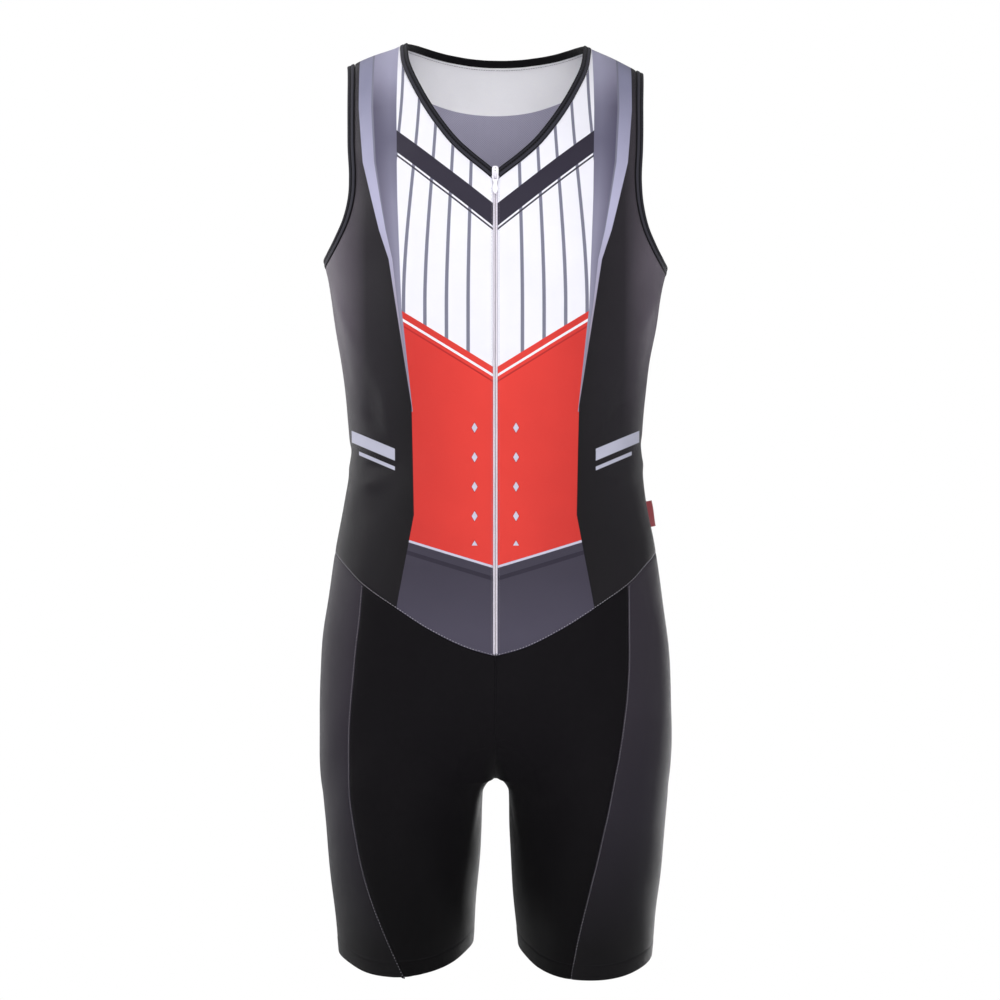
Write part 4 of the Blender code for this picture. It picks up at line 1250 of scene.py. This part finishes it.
BINDING_RING = np.array([
    (0.15, -0.9), (0.22, -0.2), (0.6, 0.3), (1.3, 0.55), (2.4, 0.6), (3.5, 0.45), (4.15, 0.12), (4.65, 0.14),
    (5.3, 0.42), (6.4, 0.52), (7.2, 0.32), (7.8, -0.15), (8.0, -0.6), (7.8, -1.15), (7.2, -1.6), (6.0, -1.8),
    (4.3, -1.55), (2.4, -1.8), (0.8, -1.75), (0.25, -1.4),
]) * MM
BINDING_ROW = (4.4 * MM, 0.10 * MM)     # the stitch row in the binding's groove: inward and height


def binding_frame(points, normals, closed):
    """Directions inward from an edge and up from it, at each of its points."""
    if closed:
        way = np.roll(points, -1, axis=0) - np.roll(points, 1, axis=0)
    else:
        way = np.gradient(points, axis=0)
    way = unit(way)
    out, lift = unit(np.cross(normals, way)), normals.copy()
    if not closed:
        for end in (0, -1):
            out[end] -= way[end] * out[end, 0] / way[end, 0]
            lift[end] -= way[end] * lift[end, 0] / way[end, 0]
    return out, lift


def binding(name, points, normals, closed, node):
    out, lift = binding_frame(points, normals, closed)
    points = points + normals * relief(points)[..., None]
    inward, up = BINDING_RING.T[:, :, None]
    rings = worn(points[:, None] + inward * out[:, None] + up * lift[:, None])
    made = bars(name, [rings], [binding_cloth], closed=closed, sharp=70)
    settle(made, "binding", node)
    inward, up = BINDING_ROW
    line = worn(points + inward * out + up * lift)
    if closed:
        line = np.vstack([line, line[:1]])
        normals = np.vstack([normals, normals[:1]])
    at = lengths(line)
    marks = np.linspace(0, at[-1], int(at[-1] / (2.6 * MM)) + 1)
    return end_to_end(read_at(marks, at, line), read_at(marks, at, normals), 0.37, 0.16 * MM, 0.10 * MM)


def bindings():
    """Strips round the neck and the armholes, and their stitches."""
    line = chain_of(NECK_LINE_FRONT, NECK_LINE_BACK[::-1])
    points, normals = formed(line[:, 0], line[:, 1])
    share = (BINDING_FROM_ZIP - points[0, 0]) / (points[1, 0] - points[0, 0])
    points[0] += (points[1] - points[0]) * share
    points = np.vstack([points, mirrored(points[-2::-1])])
    normals = np.vstack([normals, mirrored(normals[-2::-1])])
    sewn = binding("dressed_neck_binding", points, normals, False, "neck_binding")
    line = chain_of(ARMHOLE_LINE_BACK, ARMHOLE_LINE_FRONT[::-1])[:-1]
    points, normals = formed(line[:, 0], line[:, 1])
    sewn += binding("dressed_armhole_binding_left", points, normals, True, "armhole_binding_left")
    points, normals = mirrored(points)[::-1], mirrored(normals)[::-1]
    sewn += binding("dressed_armhole_binding_right", points, normals, True, "armhole_binding_right")
    settle(bars("binding_stitches", sewn, [dark_thread], sharp=0), "binding")


def allowances():
    """The turned seam edges inside the suit, behind every seam."""
    offsets = np.array([-3.2, -1.6, 0, 1.6, 3.2, 3.3, 1.6, 0, -1.6, -3.3]) * MM
    heights = np.array([-1.4, -1.42, -1.45, -1.42, -1.4, -1.9, -2.1, -2.15, -2.1, -1.9]) * MM
    dark, pale = [], []
    for side in ("left", "right"):
        seams = [
            upright(0.0, level(HEM[side], 0.0) + 2 * MM, CROTCH - MM, 60),
            leg_seam(side, SIDE_SEAM_FRONT[side], WAIST_FRONT),
            leg_seam(side, SIDE_SEAM_BACK, WAIST_BACK),
            WAIST_LINE_FRONT,
            WAIST_LINE_BACK,
        ]
        dark += [ribbon(line, side, offsets, heights) for line in seams]
        pale.append(ribbon(SIDE_LINE, side, offsets, heights))
        line = SHOULDER_LINE_FRONT
        rings = []
        for gap, height in zip(offsets, heights):
            turn = line[:, 0] if gap <= 0 else 1 - line[:, 0]
            points, normals = cloth_at(turn, line[:, 1] - abs(gap), side)
            rings.append(worn(points + normals * height))
        pale.append(np.stack(rings, 1))
    # one strip from the front waist through the crotch to the back waist
    front = upright(0.0, CROTCH, WAIST_LINE_FRONT[0, 1], 70, finer_at_low=True)[::-1]
    back = upright(1.0, CROTCH, WAIST_LINE_BACK[0, 1], 70, finer_at_low=True)[1:]
    line = np.vstack([front, back])
    points, normals = cloth_at(line[:, 0], line[:, 1], "left")
    crossing = points[len(front) - 1]
    normals = np.where(line[:, 1:] > CROTCH + 0.2 * MM, normals, [0, 0, -1])
    knot = CROSSING_DROP * np.exp(-((points[:, 1:2] - crossing[1]) / CROSSING_REACH) ** 2)
    points = points - [0, 0, 1] * knot
    rings = [worn(points + normals * height + [gap, 0, 0]) for gap, height in zip(offsets, heights)]
    dark.append(np.stack(rings, 1))
    settle(bars("leg_seam_allowances", dark, [allowance_cloth]), "leg_black")
    settle(bars("trunk_seam_allowances", pale, [pale_allowance]), "black_jersey")


def sewing():
    """Rows of stitches along the seams and hems."""
    light, dark, grey = [], [], []
    for side in ("left", "right"):
        front = leg_seam(side, SIDE_SEAM_FRONT[side], WAIST_FRONT)
        back = leg_seam(side, SIDE_SEAM_BACK, WAIST_BACK)
        for line, *sizes in (   # mm: gap beside the seam, pitch, length, radius, height
            (front, -1.1, 2.95, 0.95, 0.3, -0.22),
            (back, 1.1, 2.95, 0.95, 0.3, -0.22),
            (WAIST_LINE_FRONT, 1.1, 2.85, 1.3, 0.3, -0.23),
            (WAIST_LINE_BACK, -1.1, 2.85, 1.3, 0.3, -0.23),
        ):
            light += stitch_row(line, side, *(size * MM for size in sizes))
        hem = stretch(HEM[side], 0, 1, 400) + [0, HEM_DEPTH]
        dark += stitch_row(hem, side, 0.0, 2.9 * MM, 2.1 * MM, 0.2 * MM, -0.08 * MM)
        grey += stitch_row(NECK_LINE_BACK, side, 2.3 * MM, 2.4 * MM, 2.1 * MM, 0.2 * MM, -1.3 * MM,
                           inside=True)
    settle(bars("seam_stitches", light, [light_thread], sharp=0), "charcoal_jersey")
    settle(bars("hem_stitches", dark, [dark_thread], sharp=0), "leg_black")
    settle(bars("neck_seam_stitches", grey, [grey_thread], sharp=0), "black_jersey")


# ---------------------------------------------------------------- zip and label


def upright_strip(sides, runs, heights, rows=150):
    """A strip behind the front's edge, whose foot follows the waist seam."""
    x = np.linspace(*sides, 5)[None, :]
    foot = level(WAIST_FRONT, turn_at(np.abs(x), runs[0])) + TAPE_ABOVE_SEAM
    run = foot + (runs[1] - foot) * np.linspace(0, 1, rows)[:, None]
    turn = turn_at(np.abs(x), run)
    points, normals = formed(turn, run)
    if sides[1] < 0:
        points, normals = mirrored(points), mirrored(normals)
    lift = relief(points)[..., None]
    return [worn(points + normals * (lift + height)) for height in heights]


# sections across the zip: mm from the centre and over the cloth's face
CORD_SECTION = [(-0.42, -0.5), (-0.3, -0.22), (0, -0.12), (0.3, -0.22), (0.42, -0.5), (0, -0.8)]
COIL_BASE_SECTION = [(-2.3, -1.0), (-1.9, -0.55), (0, -0.5), (1.9, -0.55), (2.3, -1.0), (1.9, -1.35),
                     (-1.9, -1.35)]


def zip_parts():
    """Tapes, coils, cord and stitches of the zip, its slider and its pull."""
    for side, sign in (("left", 1), ("right", -1)):
        sides = (sign * TAPE_FROM, sign * TAPE_TO)
        outer, inner = upright_strip(sides, (CHAIN_FOOT, TAPE_TOP), (-1.35 * MM, -1.95 * MM))
        cloth = np.stack(np.broadcast_arrays(np.linspace(0, 0.0126, 5), lengths(outer)[:, :1]), -1)
        made = shell("dressed_zip_tape_" + side, outer, inner, cloth, [tape_cloth, tape_cloth])
        settle(made, "zip_tape", "zip_tape_" + side)
    coils = []
    for sign in (1, -1):
        run = np.arange(CHAIN_FOOT + MM, CHAIN_TOP - 1.5 * MM, COIL_PITCH) + sign * COIL_PITCH / 4
        ends = []
        for x in COIL_ENDS:
            points, normals = (v * [sign, 1, 1] for v in formed(turn_at(x, run), run))
            ends.append(worn(points + normals * (relief(points)[..., None] - 0.35 * MM)))
        for first, last, normal in zip(*ends, normals):
            coils.append(stitch((first, last), normal, 0.55 * MM, 0.26 * MM))
    run = np.linspace(CHAIN_FOOT, CHAIN_TOP, 170)
    points, normals = formed(0, run)
    points = points + normals * relief(points)[:, None]
    cord, base = (
        np.stack([worn(points + [x, 0, 0] + normals * height) for x, height in metres(section)], 1)
        for section in (CORD_SECTION, COIL_BASE_SECTION)
    )
    sections = coils + [cord, base]
    slots = [0] * len(coils) + [1, 2]
    looks = [coil_plastic, cord_plastic, tape_cloth]
    settle(bars("dressed_zip_chain", sections, looks, slots, sharp=0), "zip_teeth", "zip_chain")
    rows = []
    for sign in (1, -1):
        run = np.arange(CHAIN_FOOT + 3 * MM, TAPE_TOP - 4 * MM, 1.5 * MM)
        x = FRONT_EDGE + ZIP_ROW + np.where(np.arange(len(run)) % 2, 0.45, -0.45) * MM
        points, normals = (v * [sign, 1, 1] for v in formed(turn_at(x, run), run))
        points = worn(points + normals * relief(points)[:, None])
        rows += end_to_end(points, normals, 0.46, 0.15 * MM, 0.10 * MM)
    settle(bars("zip_stitches", rows, [grey_thread], sharp=0), "zip_tape")
    slider_and_pull()


def zip_frame():
    """Place of the slider: across, up along the cloth, out from it."""
    middle = form(0, SLIDER_RUN)
    up = Vector(form(0, SLIDER_RUN + MM) - form(0, SLIDER_RUN - MM)).normalized()
    side = Vector((1, 0, 0))
    turned = Matrix((side, up, side.cross(up))).transposed()
    return Matrix.Translation(Vector(middle)) @ turned.to_4x4()


def pebble(half_width, half_height, low, high, edge, waist=0.0, middle=0.0):
    """A flat plate with a round-cornered outline and soft edges, as rings from below to above."""
    angle = np.linspace(0, 2 * math.pi, 33)[:-1]
    rings = []
    for height, inset in ((low, edge), (low + 0.3 * edge, 0.3 * edge), (low + edge, 0), (high - edge, 0),
                          (high - 0.3 * edge, 0.3 * edge), (high, edge), (high + 0.25 * edge, 2.2 * edge)):
        x = np.sign(np.cos(angle)) * np.abs(np.cos(angle)) ** 0.55 * (half_width - inset)
        y = np.sign(np.sin(angle)) * np.abs(np.sin(angle)) ** 0.55 * (half_height - inset) + middle
        x = x * (1 - waist * np.clip(-(y - middle) / half_height, -1, 1) ** 2 * (y < middle))
        rings.append(np.stack([x, y, 0 * x + height], -1))
    return np.array(rings)


def slider_and_pull():
    """The enamelled slider with its arch, and the leaf-shaped tab that hangs from it."""
    place = zip_frame()
    body = [
        pebble(3.1 * MM, 6.1 * MM, 0.9 * MM, 2.15 * MM, 0.45 * MM, waist=0.16),
        pebble(3.1 * MM, 5.7 * MM, -3.0 * MM, -2.0 * MM, 0.35 * MM, waist=0.16),
        pebble(1.0 * MM, 1.6 * MM, -2.3 * MM, 1.3 * MM, 0.15 * MM, middle=4.4 * MM),
    ]
    arch = [(-5.3, 1.7), (-5.25, 3.6), (-5.0, 4.4), (-4.3, 4.85), (-3.15, 4.95), (-2.0, 4.85), (-1.3, 4.4),
            (-1.05, 3.6), (-1.0, 1.7)]
    rings = []
    for n, (up, out) in enumerate(arch):
        before, after = arch[max(0, n - 1)], arch[min(len(arch) - 1, n + 1)]
        way = unit(np.array([0, after[0] - before[0], after[1] - before[1]]))
        lift = np.cross(way, [1.0, 0, 0])
        rings.append([
            [0.95 * math.cos(a), up, out] + lift * 0.42 * math.sin(a)
            for a in np.linspace(0, 2 * math.pi, 13)[:-1]
        ])
    body.append(np.array(rings) * MM)
    # grey discs on the slider's top where its holes are: their grey is painted shade inside the holes
    holes = [
        pebble(0.55 * MM, 0.55 * MM, 1.6 * MM, 2.28 * MM, 0.08 * MM, middle=middle)
        for middle in (1.2 * MM, 3.9 * MM)
    ]
    made = bars("dressed_zip_slider", body + holes, [enamel, cord_plastic], [0] * 4 + [1] * 2, sharp=40)
    made.data.transform(place)
    settle(made, "zip_enamel", "zip_slider")

    edge = table(
        "down half", (-0.6, 1.7), (0.1, 2.4), (4.6, 2.4), (7.0, 1.6), (9.5, 1.9), (12.5, 2.5), (15.5, 2.0),
        (17.6, 0.9),
    )
    outline = bpy.data.curves.new("pull outline", "CURVE")
    outline.dimensions, outline.fill_mode = "2D", "BOTH"
    outline.extrude, outline.bevel_depth, outline.bevel_resolution = 0.38 * MM, 0.22 * MM, 3
    outline.offset = -0.22 * MM
    down = np.linspace(edge["down"][0], edge["down"][-1], 40)
    half = smooth(down, edge["down"], edge["half"])
    leaf = list(zip(half, down)) + [(0, edge["down"][-1] + 0.35 * MM)] + list(zip(-half[::-1], down[::-1]))
    slot = [(1.5, 0.6), (1.5, 4.2), (-1.5, 4.2), (-1.5, 0.6)]
    for ring in (leaf, [(x * MM, y * MM) for x, y in slot]):
        spline = outline.splines.new("POLY")
        spline.points.add(len(ring) - 1)
        for point, (x, y) in zip(spline.points, ring):
            point.co = (x, -y, 0, 1)
        spline.use_cyclic_u = True
    flat = bpy.data.objects.new("pull outline", outline)
    bpy.context.scene.collection.objects.link(flat)
    mesh = bpy.data.meshes.new_from_object(flat.evaluated_get(bpy.context.evaluated_depsgraph_get()))
    bpy.data.objects.remove(flat)
    mesh.transform(place @ Matrix.Translation((0, PIVOT_UP, PIVOT_OUT)))
    bm = bmesh.new()
    bm.from_mesh(mesh)
    bmesh.ops.remove_doubles(bm, verts=bm.verts, dist=0.00001)
    bm.to_mesh(mesh)
    bm.free()
    mesh.materials.clear()
    mesh.materials.append(enamel)
    mesh.shade_smooth()
    mesh.set_sharp_from_angle(angle=math.radians(45))
    pull = bpy.data.objects.new("dressed_zip_pull", mesh)
    bpy.context.scene.collection.objects.link(pull)
    settle(pull, "zip_enamel", "zip_pull", body="pull")


def side_label():
    """A folded satin label that stands out of the left side seam."""
    seat = Vector(form(0.5, LABEL_RUN))
    up = Vector(form(0.5, LABEL_RUN + MM) - form(0.5, LABEL_RUN - MM)).normalized()
    out = Vector((math.cos(LABEL_SWING), math.sin(LABEL_SWING), 0))
    out = (out - up * out.dot(up)).normalized()
    turned = Matrix((out, up, out.cross(up))).transposed().to_4x4()
    place = Matrix.Translation(seat + out * (LABEL_CLEAR + LABEL_SIZE[0] / 2)) @ turned
    section = np.array([
        (-6.4, 0.42), (-3, 0.55), (1, 0.66), (3.6, 0.66), (4.6, 0.45), (5.0, 0.0), (4.6, -0.45), (3.6, -0.66),
        (1, -0.62), (-3, -0.5), (-6.4, -0.36), (-6.4, -0.08), (-3, -0.2), (1, -0.3), (3.5, -0.32), (4.2, 0.0),
        (3.5, 0.32), (1, 0.34), (-3, 0.24), (-6.4, 0.12),
    ]) * MM
    rings = []
    for share in np.linspace(-1, 1, 24):
        x, w = section.T
        bow = 0.35 * MM * np.sin(share * 2.4 + 0.5) * np.clip((x + 6.4 * MM) / (11.4 * MM), 0, 1)
        rings.append(np.stack([x, 0 * x + share * LABEL_SIZE[1] / 2, w + bow], -1))
    made = bars("dressed_side_label", [np.array(rings)], [label_satin], sharp=60)
    made.data.transform(place)
    settle(made, "label", "side_label")


panels()
bindings()
allowances()
sewing()
zip_parts()
side_label()

# ---------------------------------------------------------------- studio

EYE = Vector((4.32 * MM, -2200 * MM, -426.24 * MM))
FLOOR, FLOOR_RADIUS = -1.05, 0.6
LAMP_AIM = Vector((0, 0, -0.38))
LAMPS = [   # name, place, size, watts
    ("high key", (-0.5, -1.6, 1.2), 1.2, 16.5),
    ("front fill", (0.4, -2.3, 0.35), 1.4, 27),
    ("left side", (-2.0, 0.6, 0.9), 1.2, 37),
    ("right side", (2.0, 0.6, 0.9), 1.2, 7),
    ("right behind", (0.7, 1.45, -0.85), 0.9, 9),
    ("left behind", (-1.4, 1.6, -0.4), 1.2, 7),
]


def white_world():
    """White to the camera; as light it is dim above and bright below, where the studio's floor is."""
    world = bpy.data.worlds.new("white studio")
    world.use_nodes = True
    tree = world.node_tree
    tree.nodes.clear()
    seen, lit, either = (tree.nodes.new(kind) for kind in
                         ("ShaderNodeBackground", "ShaderNodeBackground", "ShaderNodeMixShader"))
    ray, out = tree.nodes.new("ShaderNodeLightPath"), tree.nodes.new("ShaderNodeOutputWorld")
    way, parts = tree.nodes.new("ShaderNodeTexCoord"), tree.nodes.new("ShaderNodeSeparateXYZ")
    tree.links.new(way.outputs["Generated"], parts.inputs[0])

    def graded(axis, start, stop, first, last):
        made = tree.nodes.new("ShaderNodeMapRange")
        for socket, value in zip(made.inputs[1:], (start, stop, first, last)):
            socket.default_value = value
        tree.links.new(parts.outputs[axis], made.inputs["Value"])
        return made.outputs["Result"]

    def worked(operation, first, second):
        made = tree.nodes.new("ShaderNodeMath")
        made.operation = operation
        tree.links.new(first, made.inputs[0])
        tree.links.new(second, made.inputs[1])
        return made.outputs[0]

    before = worked("ADD", graded("Z", 0.1, -0.6, 0, 1.75), graded("Z", -0.1, 0.6, 0, 0.10))
    behind = worked("ADD", graded("Z", 0.1, -0.6, 0, 1.20), graded("Z", -0.1, 0.6, 0, 0.30))
    before = worked("MULTIPLY", before, graded("Y", 0.2, -0.6, 0, 1))
    behind = worked("MULTIPLY", behind, graded("Y", -0.2, 0.6, 0, 1))
    tree.links.new(worked("ADD", before, behind), lit.inputs["Strength"])
    seen.inputs["Color"].default_value = (1, 1, 1, 1)
    lit.inputs["Color"].default_value = (0.97, 0.975, 1.0, 1)
    tree.links.new(ray.outputs["Is Camera Ray"], either.inputs[0])
    tree.links.new(lit.outputs[0], either.inputs[1])
    tree.links.new(seen.outputs[0], either.inputs[2])
    tree.links.new(either.outputs[0], out.inputs[0])
    return world


def studio():
    """The pale floor, the lamps and the camera at the photograph's angle."""
    scene = bpy.context.scene
    scene.view_settings.view_transform = "Standard"
    scene.world = white_world()
    look = Look("pale floor", roughness=0.9, specular=0.1)
    look.set("Base Color", look.shaded((0.92, 0.92, 0.92), 0.01, 400 * MM))
    angle = np.linspace(0, 2 * math.pi, 97)[:-1]
    ring = np.stack([np.cos(angle) * FLOOR_RADIUS, np.sin(angle) * FLOOR_RADIUS, 0 * angle + FLOOR], -1)
    floor = mesh_piece("floor", ring, [list(range(len(ring)))], [look.material])
    for name, where, size, power in LAMPS:
        lamp = bpy.data.lights.new(name, "AREA")
        lamp.size, lamp.energy = size, power
        made = bpy.data.objects.new(name, lamp)
        made.location = where
        made.rotation_euler = (LAMP_AIM - Vector(where)).to_track_quat("-Z", "Y").to_euler()
        scene.collection.objects.link(made)
    camera = bpy.data.cameras.new("camera")
    camera.lens, camera.sensor_width = 82.5, 36
    made = bpy.data.objects.new("camera", camera)
    made.location = EYE
    made.rotation_euler = (math.pi / 2, 0, 0)
    scene.collection.objects.link(made)
    scene.camera = made


studio()
